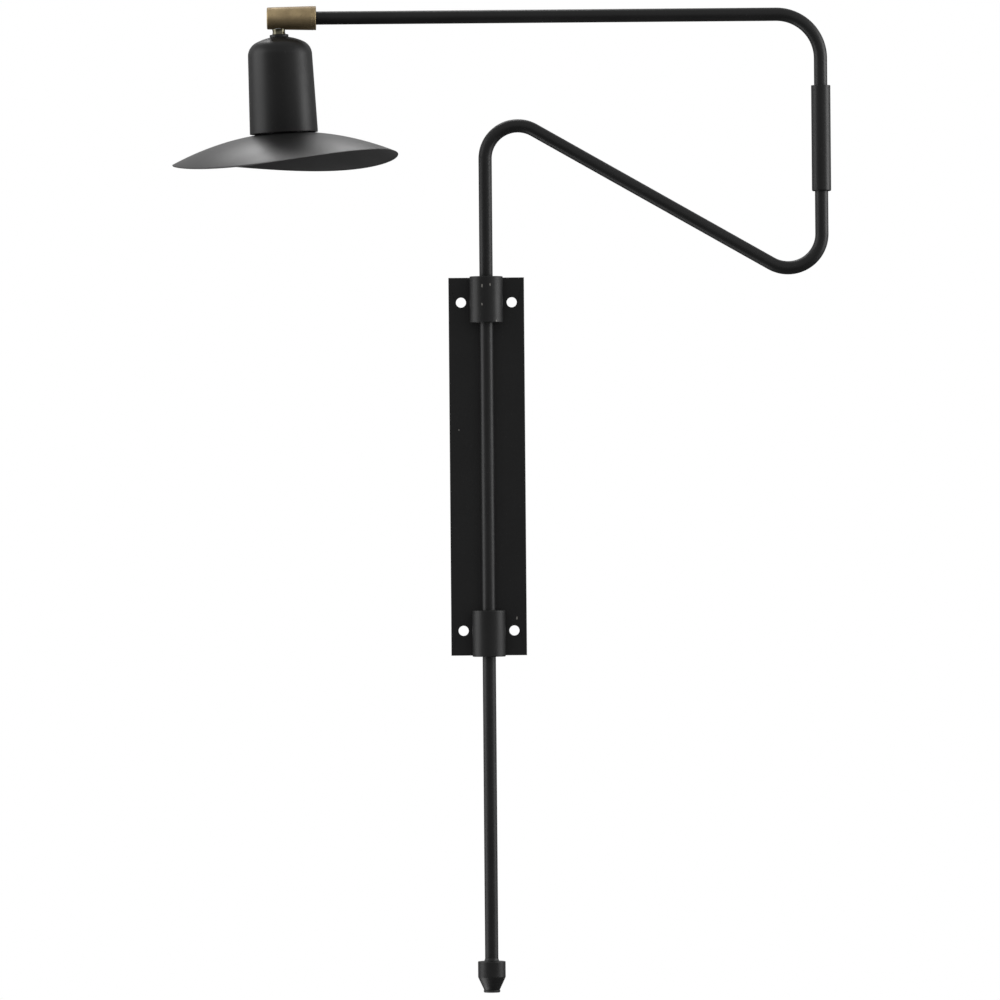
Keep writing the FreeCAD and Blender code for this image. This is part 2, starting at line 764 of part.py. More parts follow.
def centre_contact():
    """Sprung contact disc on the floor of the socket's well."""
    floor = socket_places()[1] + screw_shell_length + contact_lift
    radius = contact_diameter / 2
    stem = lead_hole_radius
    return in_head(turned(
        (0, floor + contact_lift), (stem, floor + contact_lift), (stem, floor), (radius, floor),
        (radius, floor - contact_thickness), (0, floor - 2 * contact_thickness)))


def terminal_screws():
    """Two screws on the socket's wiring floor."""
    head = ring(terminal_head_diameter / 2, 0, 0, terminal_head_height, press_edge)
    slot = Part.makeBox(2 * terminal_head_diameter, terminal_slot_width, terminal_head_height,
                        Vec(-terminal_head_diameter, -terminal_slot_width / 2,
                            terminal_head_height - terminal_slot_depth))
    screw = rod(terminal_screw_diameter / 2, -terminal_screw_length, 0).fuse(head.cut(slot))
    return Part.makeCompound([in_head(screw.translated(place)) for place in terminal_screw_places()])


def head_lead():
    """Sleeved lamp leads from the barrel down through the stud to the socket's floor."""
    floor = socket_places()[1] + screw_shell_length + contact_lift
    top = -stud_seat_drop + stud_head_thickness
    return in_head(rod(lead_radius, floor + contact_lift + seat_gap, top))


# Shade


def shade_surface(drop):
    """The folded dome's surface, lowered by the given drop, as one smooth patch."""
    half = shade_diameter / 2 + 2 * shade_sheet
    ridge = math.radians(shade_fold_direction)
    steps = [half * step / 2 for step in range(-2, 3)]
    rows = []
    for x in steps:
        row = []
        for y in steps:
            across = y * math.cos(ridge) - x * math.sin(ridge)
            rise = shade_rise * (1 - (x * x + y * y) / (shade_diameter / 2) ** 2)
            fold = shade_fold_drop * (across / (shade_diameter / 2)) ** 2
            row.append(Vec(x, y, rise - fold - shade_base_drop - drop))
        rows.append(row)
    surface = Part.BSplineSurface()
    surface.interpolate(rows)
    return surface.toShape()


def lamp_shade():
    """Round sheet shade, domed and folded, with a hole for the socket."""
    sheet = shade_surface(0.0).extrude(Vec(0, 0, -shade_sheet))
    if sheet.ShapeType != "Solid":
        sheet = Part.Solid(sheet)
    reach = 2 * shade_base_drop
    disc = rod(shade_diameter / 2, -reach, 0)
    hole = rod(socket_diameter / 2 + seat_gap, -reach, 0)
    return in_head(sheet.common(disc).cut(hole))


def shade_ring():
    """Threaded ring that clamps the shade up against the socket's flange."""
    outer = shade_ring_diameter / 2
    top = -shade_surface_drop(outer, False) - shade_sheet - face_gap
    return in_head(ring(outer, socket_diameter / 2, top - shade_ring_height, top, collar_edge))


pieces = {
    "wall_plate": wall_plate(),
    "upper_collar": collar(1),
    "lower_collar": collar(-1),
    "upper_collar_bush": collar_bush(1),
    "lower_collar_bush": collar_bush(-1),
    "collar_screws": collar_screws(),
    "mast_coupling": mast_coupling(),
    "lower_arm_tube": lower_arm_tube(),
    "mast_tube": mast_tube(),
    "cord_outlet_cap": cord_outlet_cap(),
    "cap_grub_screw": cap_grub_screw(),
    "outlet_grommet": outlet_grommet(),
    "lower_flex": lower_flex(),
    "swivel_sleeve": swivel_sleeve(),
    "sleeve_bush": sleeve_bush(),
    "swivel_thrust_washer": swivel_thrust_washer(),
    "sleeve_grub_screw": sleeve_grub_screw(),
    "keeper_screw": keeper_screw(),
    "upper_arm_tube": upper_arm_tube(),
    "upper_arm_ferrule": upper_arm_ferrule(),
    "arm_end_bush": arm_end_bush(),
    "upper_flex": upper_flex(),
    "brass_barrel": brass_barrel(),
    "barrel_lock_ring": barrel_lock_ring(),
    "barrel_end_plug": barrel_end_plug(),
    "tilt_grub_screw": tilt_grub_screw(),
    "knuckle_lead": knuckle_lead(),
    "swivel_stud": swivel_stud(),
    "neck_spacer": neck_spacer(),
    "neck_washer": neck_washer(),
    "head_cup": head_cup(),
    "cup_inner_washer": cup_inner_washer(),
    "cup_lock_nut": cup_lock_nut(),
    "socket_cap": socket_cap(),
    "socket_body": socket_body(),
    "screw_shell": screw_shell(),
    "centre_contact": centre_contact(),
    "terminal_screws": terminal_screws(),
    "head_lead": head_lead(),
    "lamp_shade": lamp_shade(),
    "shade_ring": shade_ring(),
}

os.makedirs("parts", exist_ok=True)
for name, shape in pieces.items():
    if not shape.isValid():
        raise RuntimeError(name + " is not a valid solid")
    shape.exportStep("parts/" + name + ".step")
    print(name, "solids", len(shape.Solids), "volume", round(shape.Volume))
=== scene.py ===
"""Swing-arm wall lamp in satin black and aged brass: finishes, fine pieces, studio and camera.

Sizes and places are in metres, in the frame's axes: +Z up, +X right as seen from the room and
+Y into the wall, with the origin at the middle of the wall plate's back face.
"""
import json
import math

import bmesh
import bpy
from bpy.props import FloatProperty, FloatVectorProperty, IntProperty, PointerProperty
from mathutils import Matrix, Vector


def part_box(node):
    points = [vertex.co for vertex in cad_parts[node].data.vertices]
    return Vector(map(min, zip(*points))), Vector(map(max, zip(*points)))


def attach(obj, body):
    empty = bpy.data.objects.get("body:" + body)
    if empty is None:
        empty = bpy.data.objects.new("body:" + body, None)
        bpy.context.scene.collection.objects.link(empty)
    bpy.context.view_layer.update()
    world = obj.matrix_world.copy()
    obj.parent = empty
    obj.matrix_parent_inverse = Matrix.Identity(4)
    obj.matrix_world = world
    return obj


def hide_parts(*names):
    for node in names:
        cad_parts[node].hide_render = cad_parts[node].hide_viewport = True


bl_info = {
    "name": "Swing-arm wall lamp",
    "version": (1, 0, 0),
    "blender": (4, 5, 0),
    "location": "3D View > Sidebar > Lamp",
    "description": "Dresses the lamp's frame with finishes, fine pieces and a studio",
    "category": "Object",
}

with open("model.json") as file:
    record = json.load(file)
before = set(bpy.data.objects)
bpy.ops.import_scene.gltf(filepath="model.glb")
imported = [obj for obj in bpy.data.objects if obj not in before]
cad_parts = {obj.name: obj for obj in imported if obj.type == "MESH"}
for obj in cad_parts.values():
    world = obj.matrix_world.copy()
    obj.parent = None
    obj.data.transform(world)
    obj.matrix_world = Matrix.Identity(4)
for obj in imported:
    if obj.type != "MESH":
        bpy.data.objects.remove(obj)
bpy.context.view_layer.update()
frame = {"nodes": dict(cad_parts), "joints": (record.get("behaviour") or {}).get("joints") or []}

MM = 0.001
ROUND_STEPS = 96              # sides of a turned piece
TUBE_SIDES = 64
CORNER_SEGMENTS = 5           # faces across a rounded corner
BEND_STEP = math.radians(2.5)
SUPPORT = 0.4 * MM            # width of the strip that keeps a long face's shading flat
SMOOTH_ANGLE = math.radians(32)
SHARP = math.radians(60)      # an edge that turns more than this is a corner
SHEET_SEGMENTS = 3            # faces across the rounded edge of a thin sheet
JOIN = 0.001 * MM
STUD_RADIUS = 5.0 * MM
ALONG = (1, 0, 0)             # the axis of the upper arm's end and the barrel
ACROSS = (0, 1, 0)            # the axis that the arms' bends turn about
UP = (0, 0, 1)
NONE = (0, 0, 0)
CAMERA_PLACE = Vector((0.01214, -8.0, -0.03))
CAMERA_AIM = Vector((0.01214, -0.02, -0.03384))
SENSOR_WIDTH = 36.0           # millimetres, as the lens is
PICTURE_WIDTH = 1000          # pixels that the chips' places are counted in
LIGHT_POWER = 4.0             # watts of a square metre of softbox at brightness 1
CHIPS = {                     # column, row and size in millimetres of each chip in the coat
    "wall_plate": ((517, 618, 1.5), (459, 430, 0.8)),
    "upper_collar": ((482, 286, 1.5), (490, 285, 1.3), (482, 304.5, 1.2), (496.5, 321, 1.1)),
    "lower_collar": ((486, 690, 0.7),),
    "head_cup": ((252, 113, 1.2), (261, 115, 0.9)),
}


# Places and sizes read from the frame


def joint(name):
    """The frame's joint of that name."""
    return next(entry for entry in frame["joints"] if entry["name"] == name)


def joint_point(name):
    return Vector(joint(name)["pos_m"])


def standing(point):
    """A place with +Z up on the vertical line through a point, its heights the frame's own."""
    return Matrix.Translation((point.x, point.y, 0))


def along_arm():
    """A place at the neck whose +Z runs along the upper arm, away from the lamp head."""
    return Matrix.Translation(joint_point("head_tilt")) @ Matrix.Rotation(math.pi / 2, 4, "Y")


def hanging():
    """A place at the neck that leans with the lamp head."""
    lean = Vector(UP).rotation_difference(Vector(joint("head_spin")["axis"]))
    return Matrix.Translation(joint_point("head_spin")) @ lean.to_matrix().to_4x4()


def extent(node, place=Matrix()):
    """Lowest and highest corner of a CAD node, measured along a place's own axes."""
    back = place.inverted()
    spots = [back @ vertex.co for vertex in frame["nodes"][node].data.vertices]
    return Vector(map(min, zip(*spots))), Vector(map(max, zip(*spots)))


def middle_of(node):
    low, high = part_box(node)
    return (low + high) / 2


# Modelling


def only(kind, geometry):
    return [item for item in geometry if isinstance(item, kind)]


def support_edge(made, edge):
    """Split a long edge of an outline close to both of its ends."""
    first, last = edge.verts
    if edge.calc_length() < 4 * SUPPORT:
        return
    near = bmesh.utils.edge_split(edge, first, SUPPORT / edge.calc_length())[1]
    rest = made.edges.get((near, last))
    bmesh.utils.edge_split(rest, last, SUPPORT / rest.calc_length())


def spun(made, steps=ROUND_STEPS):
    """Turn everything in a mesh once round the Z axis and close it."""
    bmesh.ops.spin(made, geom=made.verts[:] + made.edges[:], cent=NONE, axis=UP, dvec=NONE,
                   angle=math.tau, steps=steps, use_merge=True, use_duplicate=False)
    bmesh.ops.remove_doubles(made, verts=made.verts, dist=JOIN)
    bmesh.ops.recalc_face_normals(made, faces=made.faces)
    return made


def rounded(made, parts, radius, segments=CORNER_SEGMENTS, affect="EDGES"):
    """Round some of a mesh's edges, or the corners of an outline."""
    bmesh.ops.bevel(made, geom=parts, offset=radius, offset_type="OFFSET", segments=segments,
                    profile=0.5, affect=affect, material=-1)


def sharp_edges(made):
    return [edge for edge in made.edges if edge.calc_face_angle(0) > SHARP]


def lathe(*outline, steps=ROUND_STEPS):
    """A piece turned about Z from (radius, height, rounding) corners, in order round its section."""
    made = bmesh.new()
    corners = [made.verts.new((radius, 0, height)) for radius, height, rounding in outline]
    sides = list(zip(corners, corners[1:]))
    if outline[0][0] > 0:
        sides.append((corners[-1], corners[0]))
    for side in sides:
        made.edges.new(side)
    for corner, (radius, height, rounding) in zip(corners, outline):
        if rounding > 0:
            rounded(made, [corner], rounding, affect="VERTICES")
    for edge in made.edges[:]:
        support_edge(made, edge)
    return spun(made, steps)


def run(*shift, steps=1):
    """A straight move of a trace, repeated for a number of steps."""
    return {"cent": NONE, "axis": ACROSS, "angle": 0.0, "dvec": shift, "steps": steps}


def bend(centre, turn):
    """A curved move of a trace about an axis across the arms."""
    return {"cent": centre, "axis": ACROSS, "angle": turn, "dvec": NONE,
            "steps": math.ceil(abs(turn) / BEND_STEP)}


def trace(made, front, moves):
    """Carry a ring or a point along runs and bends, which leaves a skin or a line behind it."""
    for move in moves:
        front = bmesh.ops.spin(made, geom=front, use_duplicate=False, **move)["geom_last"]
    return front


def walled(made, thickness):
    """Give a skin its wall, on the side that its faces turn away from."""
    bmesh.ops.remove_doubles(made, verts=made.verts, dist=JOIN)
    bmesh.ops.recalc_face_normals(made, faces=made.faces)
    bmesh.ops.solidify(made, geom=made.faces[:], thickness=thickness)
    return made


def drilled(made, *cutters):
    """Cut holes in a closed mesh with other closed meshes."""
    body = bpy.data.objects.new("drilled", as_mesh(made, "drilled"))
    bpy.context.scene.collection.objects.link(body)
    tools = []
    for cutter in cutters:
        tool = bpy.data.objects.new("cutter", as_mesh(cutter, "cutter"))
        bpy.context.scene.collection.objects.link(tool)
        cut = body.modifiers.new("cut", "BOOLEAN")
        cut.object, cut.operation, cut.solver = tool, "DIFFERENCE", "EXACT"
        tools.append(tool)
    bpy.context.view_layer.update()
    result = body.evaluated_get(bpy.context.evaluated_depsgraph_get()).to_mesh()
    made = bmesh.new()
    made.from_mesh(result)
    for item in [body, *tools]:
        mesh = item.data
        bpy.data.objects.remove(item)
        bpy.data.meshes.remove(mesh)
    return made


def as_mesh(made, name):
    """Turn a bmesh into mesh data and free it."""
    mesh = bpy.data.meshes.new(name)
    made.to_mesh(mesh)
    made.free()
    return mesh


def round_cutter(radius, length, place):
    """A closed bar along a place's Z axis, with its middle there."""
    made = bmesh.new()
    bmesh.ops.create_cone(made, cap_ends=True, segments=TUBE_SIDES, radius1=radius, radius2=radius,
                          depth=length, matrix=place)
    return made


def grub_cutter(point, reach):
    """Cutter for a set screw's hole, from a point towards the wall."""
    middle = Matrix.Translation(point + Vector((0, reach / 2, 0)))
    return round_cutter(bpy.context.scene.lamp_arms.grub_diameter / 2, reach,
                        middle @ Matrix.Rotation(math.pi / 2, 4, "X"))


def finish_piece(node, work, made, place, body, slot_name, look=None):
    """Let a modelled mesh stand for its CAD node, in its slot's finish or a look of its own."""
    bmesh.ops.transform(made, matrix=place, verts=made.verts)
    name = node + "_" + work
    mesh = as_mesh(made, name)
    mesh.shade_smooth()
    mesh.set_sharp_from_angle(angle=SMOOTH_ANGLE)
    mesh.materials.append(look or finish(slot_name))
    piece = bpy.data.objects.new(name, mesh)
    bpy.context.scene.collection.objects.link(piece)
    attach(piece, body)
    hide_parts(node)


# Materials


def feed(tree, socket, value):
    """Link a socket to another one, or set it to a constant."""
    if isinstance(value, bpy.types.NodeSocket):
        tree.links.new(value, socket)
    else:
        socket.default_value = value


def add(tree, kind, values=None, **settings):
    """Add a shader node; values are constants or sockets to link, by input name or number."""
    node = tree.nodes.new("ShaderNode" + kind)
    for key, value in settings.items():
        setattr(node, key, value)
    for socket, value in (values or {}).items():
        feed(tree, node.inputs[socket], value)
    return node


def noise(tree, vector, scale, detail=2.0):
    return add(tree, "TexNoise", {"Vector": vector, "Scale": scale, "Detail": detail}).outputs["Fac"]


def ranged(tree, value, low, high, bottom=0.0, top=1.0):
    """Map a value from low..high to bottom..top, clamped."""
    return add(tree, "MapRange", {"Value": value, "From Min": low, "From Max": high,
                                  "To Min": bottom, "To Max": top}).outputs["Result"]


def math_node(tree, operation, first, second=0.0):
    return add(tree, "Math", {0: first, 1: second}, operation=operation).outputs["Value"]


def mix_colours(tree, share, first, second):
    return add(tree, "Mix", {0: share, 6: first, 7: second}, data_type="RGBA").outputs[2]


def mix_values(tree, share, first, second):
    return add(tree, "Mix", {0: share, 2: first, 3: second}, data_type="FLOAT").outputs[0]


def vector_node(tree, operation, output, first, second=NONE):
    return add(tree, "VectorMath", {0: first, 1: second}, operation=operation).outputs[output]


def group(name, inputs, outputs):
    """An empty shader node group with its sockets; returns its tree and its two end nodes."""
    tree = bpy.data.node_groups.new(name, "ShaderNodeTree")
    for label, kind, value in inputs:
        socket = tree.interface.new_socket(label, in_out="INPUT", socket_type=kind)
        if value is not None:
            socket.default_value = value
    for label, kind in outputs:
        tree.interface.new_socket(label, in_out="OUTPUT", socket_type=kind)
    return tree, tree.nodes.new("NodeGroupInput").outputs, tree.nodes.new("NodeGroupOutput").inputs


def placed(tree, name, values):
    """Place a node group in a material with its own values."""
    return add(tree, "Group", values, node_tree=bpy.data.node_groups[name]).outputs


def build_grain_group():
    """Powder coat or moulded skin: a dimpled surface, broad unevenness and a few fine flecks."""
    tree, given, out = group(
        "Skin grain",
        (("Vector", "NodeSocketVector", None), ("Dimple Size", "NodeSocketFloat", 1.6 * MM),
         ("Patch Size", "NodeSocketFloat", 0.04)),
        (("Height", "NodeSocketFloat"), ("Unevenness", "NodeSocketFloat"),
         ("Flecks", "NodeSocketFloat")))
    dimples = noise(tree, given["Vector"], math_node(tree, "DIVIDE", 1.0, given["Dimple Size"]))
    powder = noise(tree, given["Vector"], math_node(tree, "DIVIDE", 6.0, given["Dimple Size"]), 3.0)
    height = math_node(tree, "MULTIPLY_ADD", powder, 0.25)
    tree.links.new(dimples, height.node.inputs[2])
    tree.links.new(height, out["Height"])
    patches = noise(tree, given["Vector"], math_node(tree, "DIVIDE", 1.0, given["Patch Size"]), 4.0)
    tree.links.new(ranged(tree, patches, 0.3, 0.7), out["Unevenness"])
    cells = add(tree, "TexVoronoi", {"Vector": given["Vector"],
                                     "Scale": math_node(tree, "DIVIDE", 0.55, given["Dimple Size"])})
    fleck_radius, left_out = 0.09, 0.8
    near = math_node(tree, "LESS_THAN", cells.outputs["Distance"], fleck_radius)
    chosen = add(tree, "SeparateColor", {0: cells.outputs["Color"]})
    rare = math_node(tree, "GREATER_THAN", chosen.outputs[0], left_out)
    tree.links.new(math_node(tree, "MULTIPLY", near, rare), out["Flecks"])


def build_lathe_group():
    """Turned metal: fine tool lines across a piece's axis and cloudy tarnish."""
    tree, given, out = group(
        "Turned metal",
        (("Vector", "NodeSocketVector", None), ("Axis", "NodeSocketVector", (0.0, 0.0, 1.0)),
         ("Line Size", "NodeSocketFloat", 0.25 * MM), ("Cloud Size", "NodeSocketFloat", 0.012)),
        (("Lines", "NodeSocketFloat"), ("Tarnish", "NodeSocketFloat"), ("Spots", "NodeSocketFloat")))
    along = vector_node(tree, "DOT_PRODUCT", "Value", given["Vector"], given["Axis"])
    place = math_node(tree, "DIVIDE", along, given["Line Size"])
    lines = add(tree, "TexNoise", {"W": place, "Scale": 1.0, "Detail": 3.0},
                noise_dimensions="1D").outputs["Fac"]
    tree.links.new(lines, out["Lines"])
    clouds = noise(tree, given["Vector"], math_node(tree, "DIVIDE", 1.0, given["Cloud Size"]), 6.0)
    tree.links.new(ranged(tree, clouds, 0.35, 0.68), out["Tarnish"])
    specks = noise(tree, given["Vector"], math_node(tree, "DIVIDE", 9.0, given["Cloud Size"]), 2.0)
    tree.links.new(ranged(tree, specks, 0.64, 0.74), out["Spots"])


def build_chip_group():
    """A small ragged chip in a coat, round a point and taller than wide."""
    tree, given, out = group(
        "Chip",
        (("Vector", "NodeSocketVector", None), ("Centre", "NodeSocketVector", None),
         ("Size", "NodeSocketFloat", 1.0 * MM)),
        (("Mask", "NodeSocketFloat"),))
    offset = vector_node(tree, "SUBTRACT", "Vector", given["Vector"], given["Centre"])
    narrow_and_tall, grain_scale = (1.3, 1.3, 0.65), 1400.0
    drawn = vector_node(tree, "MULTIPLY", "Vector", offset, narrow_and_tall)
    apart = vector_node(tree, "LENGTH", "Value", drawn)
    ragged = noise(tree, given["Vector"], grain_scale, 3.0)
    edge = math_node(tree, "MULTIPLY", ranged(tree, ragged, 0.25, 0.75, 0.35, 1.0), given["Size"])
    tree.links.new(math_node(tree, "LESS_THAN", apart, edge), out["Mask"])


def build_edge_group():
    """A mask that is 1 on rounded and sharp outer edges, broken up by noise."""
    tree, given, out = group(
        "Edge rub",
        (("Vector", "NodeSocketVector", None), ("Width", "NodeSocketFloat", 0.5 * MM)),
        (("Mask", "NodeSocketFloat"),))
    soft = add(tree, "Bevel", {"Radius": given["Width"]}, samples=4).outputs["Normal"]
    true = add(tree, "NewGeometry").outputs["Normal"]
    turned = vector_node(tree, "DOT_PRODUCT", "Value", soft, true)
    edge = ranged(tree, turned, 0.995, 0.93)
    broken = ranged(tree, noise(tree, given["Vector"], 420.0, 4.0), 0.42, 0.62)
    tree.links.new(math_node(tree, "MULTIPLY", edge, broken), out["Mask"])


def new_material(name):
    """An empty material with its shader and its Object coordinates."""
    material = bpy.data.materials.new(name)
    material.use_nodes = True
    tree = material.node_tree
    tree.nodes.clear()
    shader = add(tree, "BsdfPrincipled")
    add(tree, "OutputMaterial", {"Surface": shader.outputs["BSDF"]}, target="ALL")
    return material, tree, shader, add(tree, "TexCoord").outputs["Object"]


def drive(tree, shader, **values):
    """Set or link a shader's sockets by name, with underscores for the spaces."""
    for name, value in values.items():
        feed(tree, shader.inputs[name.replace("_", " ")], value)


def bump(tree, height, distance):
    values = {"Height": height, "Distance": distance, "Strength": 1.0}
    return add(tree, "Bump", values).outputs["Normal"]


def uneven_roughness(tree, mask, low, high):
    return ranged(tree, mask, 0.0, 1.0, low, high)


def rgba(colour):
    return (*colour[:3], 1.0)


def scaled(colour, share):
    return (*(channel * share for channel in colour[:3]), 1.0)


def coat_material(name, chips=(), gloss=None, roughness=None):
    """Satin black powder coat; chips are (centre, size) pairs where bare metal shows."""
    looks = bpy.context.scene.lamp_finishes
    material, tree, shader, place = new_material(name)
    grain = placed(tree, "Skin grain", {"Vector": place, "Dimple Size": looks.coat_dimple})
    colour = mix_colours(tree, grain["Unevenness"], scaled(looks.coat_colour, 0.85),
                         scaled(looks.coat_colour, 1.15))
    rubbed = placed(tree, "Edge rub", {"Vector": place, "Width": looks.edge_width})["Mask"]
    worn = math_node(tree, "MULTIPLY", rubbed, looks.edge_rub)
    colour = mix_colours(tree, worn, colour, rgba(looks.bare_colour))
    colour = mix_colours(tree, math_node(tree, "MULTIPLY", grain["Flecks"], 0.35), colour,
                         rgba(looks.bare_colour))
    middle, spread = roughness or looks.coat_roughness, 0.03
    rough = uneven_roughness(tree, grain["Unevenness"], middle - spread, middle + spread)
    bare = None
    for centre, size in chips:
        mask = placed(tree, "Chip", {"Vector": place, "Centre": centre, "Size": size})["Mask"]
        bare = mask if bare is None else math_node(tree, "MAXIMUM", bare, mask)
    if bare is not None:
        colour = mix_colours(tree, bare, colour, rgba(looks.chip_colour))
    drive(tree, shader, Base_Color=colour, Roughness=rough,
          Specular_IOR_Level=gloss or looks.coat_gloss,
          Normal=bump(tree, grain["Height"], looks.coat_relief))
    return material


def camera_axes():
    """The camera's right, up and back directions."""
    ahead = (CAMERA_AIM - CAMERA_PLACE).normalized()
    right = ahead.cross(UP).normalized()
    turn = Matrix.Rotation(-bpy.context.scene.lamp_studio.roll, 3, ahead)
    return turn @ right, turn @ right.cross(ahead), -ahead


def seen_at(column, row, depth):
    """The point at a given Y that the camera sees at a pixel of its picture."""
    right, above, back = camera_axes()
    reach = bpy.context.scene.lamp_studio.lens / SENSOR_WIDTH
    across, down = column / PICTURE_WIDTH - 0.5, row / PICTURE_WIDTH - 0.5
    ray = right * across / reach - above * down / reach - back
    return CAMERA_PLACE + ray * ((depth - CAMERA_PLACE.y) / ray.y)


def chipped_coat(node, axis=None, radius=0.0):
    """A node's coat with its chips; a round node gives a point of its axis and its radius."""
    chips = []
    for column, row, size in CHIPS[node]:
        spot = seen_at(column, row, axis.y if axis else extent(node)[0].y)
        if axis:
            spot.y = axis.y - math.sqrt(radius ** 2 - min(abs(spot.x - axis.x), radius) ** 2)
        chips.append((spot, size * MM))
    return material("satin_black_" + node, coat_material, chips)


def brass_material(name, axis):
    """Turned brass with cloudy tarnish, dark spots, brighter rubbed edges and painted shade that
    darkens its top.
    """
    looks = bpy.context.scene.lamp_finishes
    material, tree, shader, place = new_material(name)
    turned = placed(tree, "Turned metal", {"Vector": place, "Axis": axis})
    rubbed = placed(tree, "Edge rub", {"Vector": place, "Width": looks.edge_width})["Mask"]
    colour = mix_colours(tree, turned["Tarnish"], rgba(looks.brass_colour),
                         rgba(looks.tarnish_colour))
    colour = mix_colours(tree, math_node(tree, "MULTIPLY", turned["Spots"], 0.5), colour,
                         rgba(looks.spot_and_top_shade_colour))
    colour = mix_colours(tree, math_node(tree, "MULTIPLY", rubbed, 0.5), colour,
                         scaled(looks.brass_colour, 1.25))
    # Painted shade: the brass is darkened towards the top of the barrel, which holds down the back
    # softboxes' highlight along its upper edge.
    middle = joint_point("head_tilt").z
    top = extent("brass_barrel")[1].z - middle
    height = add(tree, "SeparateXYZ", {0: place}).outputs["Z"]
    start, end, share = 0.62, 0.87, 0.75
    painted_top_shade = ranged(tree, height, middle + start * top, middle + end * top, 0.0, share)
    colour = mix_colours(tree, painted_top_shade, colour, rgba(looks.spot_and_top_shade_colour))
    rough = uneven_roughness(tree, turned["Tarnish"], looks.brass_roughness - 0.05,
                             looks.brass_roughness + 0.06)
    drive(tree, shader, Base_Color=colour, Roughness=rough, Metallic=1.0,
          Normal=bump(tree, turned["Lines"], looks.line_relief))
    return material


def metal_material(name, colour, roughness, axis=UP):
    """Plain machined or plated metal with fine tool lines and light clouding."""
    looks = bpy.context.scene.lamp_finishes
    material, tree, shader, place = new_material(name)
    turned = placed(tree, "Turned metal", {"Vector": place, "Axis": axis})
    shade = mix_colours(tree, turned["Tarnish"], rgba(colour), scaled(colour, 0.75))
    rough = uneven_roughness(tree, turned["Tarnish"], roughness - 0.06, roughness + 0.08)
    drive(tree, shader, Base_Color=shade, Roughness=rough, Metallic=1.0,
          Normal=bump(tree, turned["Lines"], looks.line_relief))
    return material


def moulded_material(name, colour, roughness, dimple):
    """Moulded plastic or rubber with a fine skin."""
    material, tree, shader, place = new_material(name)
    grain = placed(tree, "Skin grain", {"Vector": place, "Dimple Size": dimple, "Patch Size": 0.01})
    shade = mix_colours(tree, grain["Unevenness"], scaled(colour, 0.88), scaled(colour, 1.1))
    spread, relief = 0.05, 0.01 * MM
    rough = uneven_roughness(tree, grain["Unevenness"], roughness - spread, roughness + spread)
    drive(tree, shader, Base_Color=shade, Roughness=rough,
          Normal=bump(tree, grain["Height"], relief))
    return material


def material(name, maker, *details):
    """The named finish, made the first time that it is asked for; plain names are the frame's."""
    label = "lamp " + name.replace("_", " ")
    return bpy.data.materials.get(label) or maker(label, *details)


# Each finish's maker, then for brass the axis of its tool lines, for other metals the colour,
# roughness and axis, and for moulded pieces the colour, roughness and size of the dimples
FINISHES = {
    "satin_black": (coat_material,),
    "aged_brass": (brass_material, ALONG),
    "contact_brass": (metal_material, (0.62, 0.46, 0.22), 0.3),
    "zinc_plate": (metal_material, (0.5, 0.5, 0.49), 0.38),
    "black_steel": (metal_material, (0.035, 0.034, 0.033), 0.42, ACROSS),
    "socket_moulding": (moulded_material, (0.018, 0.017, 0.016), 0.4, 0.8 * MM),
    "bearing_plastic": (moulded_material, (0.66, 0.65, 0.6), 0.42, 0.6 * MM),
    "grommet_rubber": (moulded_material, (0.02, 0.02, 0.02), 0.62, 0.5 * MM),
    "flex_sheath": (moulded_material, (0.03, 0.03, 0.03), 0.5, 0.7 * MM),
}


def finish(name):
    return material(name, *FINISHES[name])


# What a user would change


def colour_property(name, description, default):
    return FloatVectorProperty(name=name, description=description, subtype="COLOR", size=3,
                               min=0.0, max=1.0, default=default)


def length_property(name, description, default):
    return FloatProperty(name=name, description=description, subtype="DISTANCE", unit="LENGTH",
                         min=0.0, precision=5, default=default)


def angle_property(name, description, degrees):
    return FloatProperty(name=name, description=description, subtype="ANGLE", unit="ROTATION",
                         default=math.radians(degrees))


def share_property(name, description, default):
    return FloatProperty(name=name, description=description, min=0.0, max=1.0, default=default)


def light_property(name, description, default):
    return FloatProperty(name=name, description=description, min=0.0, default=default)


class LampFinishes(bpy.types.PropertyGroup):
    """Colours and textures of the lamp's finishes."""
    coat_colour: colour_property("Coat colour", "Colour of the powder coat", (0.0075, 0.0075, 0.0078))
    coat_roughness: share_property("Coat roughness", "Roughness of the powder coat", 0.43)
    coat_gloss: share_property("Coat gloss", "Strength of the coat's reflection", 0.42)
    shade_gloss: share_property("Shade gloss", "Strength of the reflection of the shade's coat", 0.9)
    shade_roughness: share_property("Shade roughness", "Roughness of the shade's coat", 0.38)
    coat_dimple: length_property("Coat dimple", "Size of the coat's orange peel", 1.5 * MM)
    coat_relief: length_property("Coat relief", "Depth of the coat's orange peel", 0.012 * MM)
    bare_colour: colour_property("Bare metal", "Colour of rubbed edges and flecks", (0.16, 0.155, 0.15))
    chip_colour: colour_property("Chip colour", "Colour inside a chip of the coat", (0.22, 0.21, 0.195))
    edge_width: length_property("Edge width", "Width of the rub along edges", 0.5 * MM)
    edge_rub: share_property("Edge rub", "How far edges are rubbed", 0.25)
    brass_colour: colour_property("Brass", "Colour of the clean brass", (0.6, 0.465, 0.265))
    tarnish_colour: colour_property("Tarnish", "Colour of the brass's tarnish", (0.43, 0.33, 0.19))
    # The dark spots' colour is also the painted shade along the top of the brass.
    spot_and_top_shade_colour: colour_property("Brass spots", "Colour of the brass's dark spots", (0.14, 0.1, 0.06))
    neck_colour: colour_property("Neck", "Colour of the polished neck spacer", (0.15, 0.14, 0.1))
    brass_roughness: share_property("Brass roughness", "Roughness of the aged brass", 0.45)
    line_relief: length_property("Tool lines", "Depth of the tool lines on turned metal", 0.002 * MM)


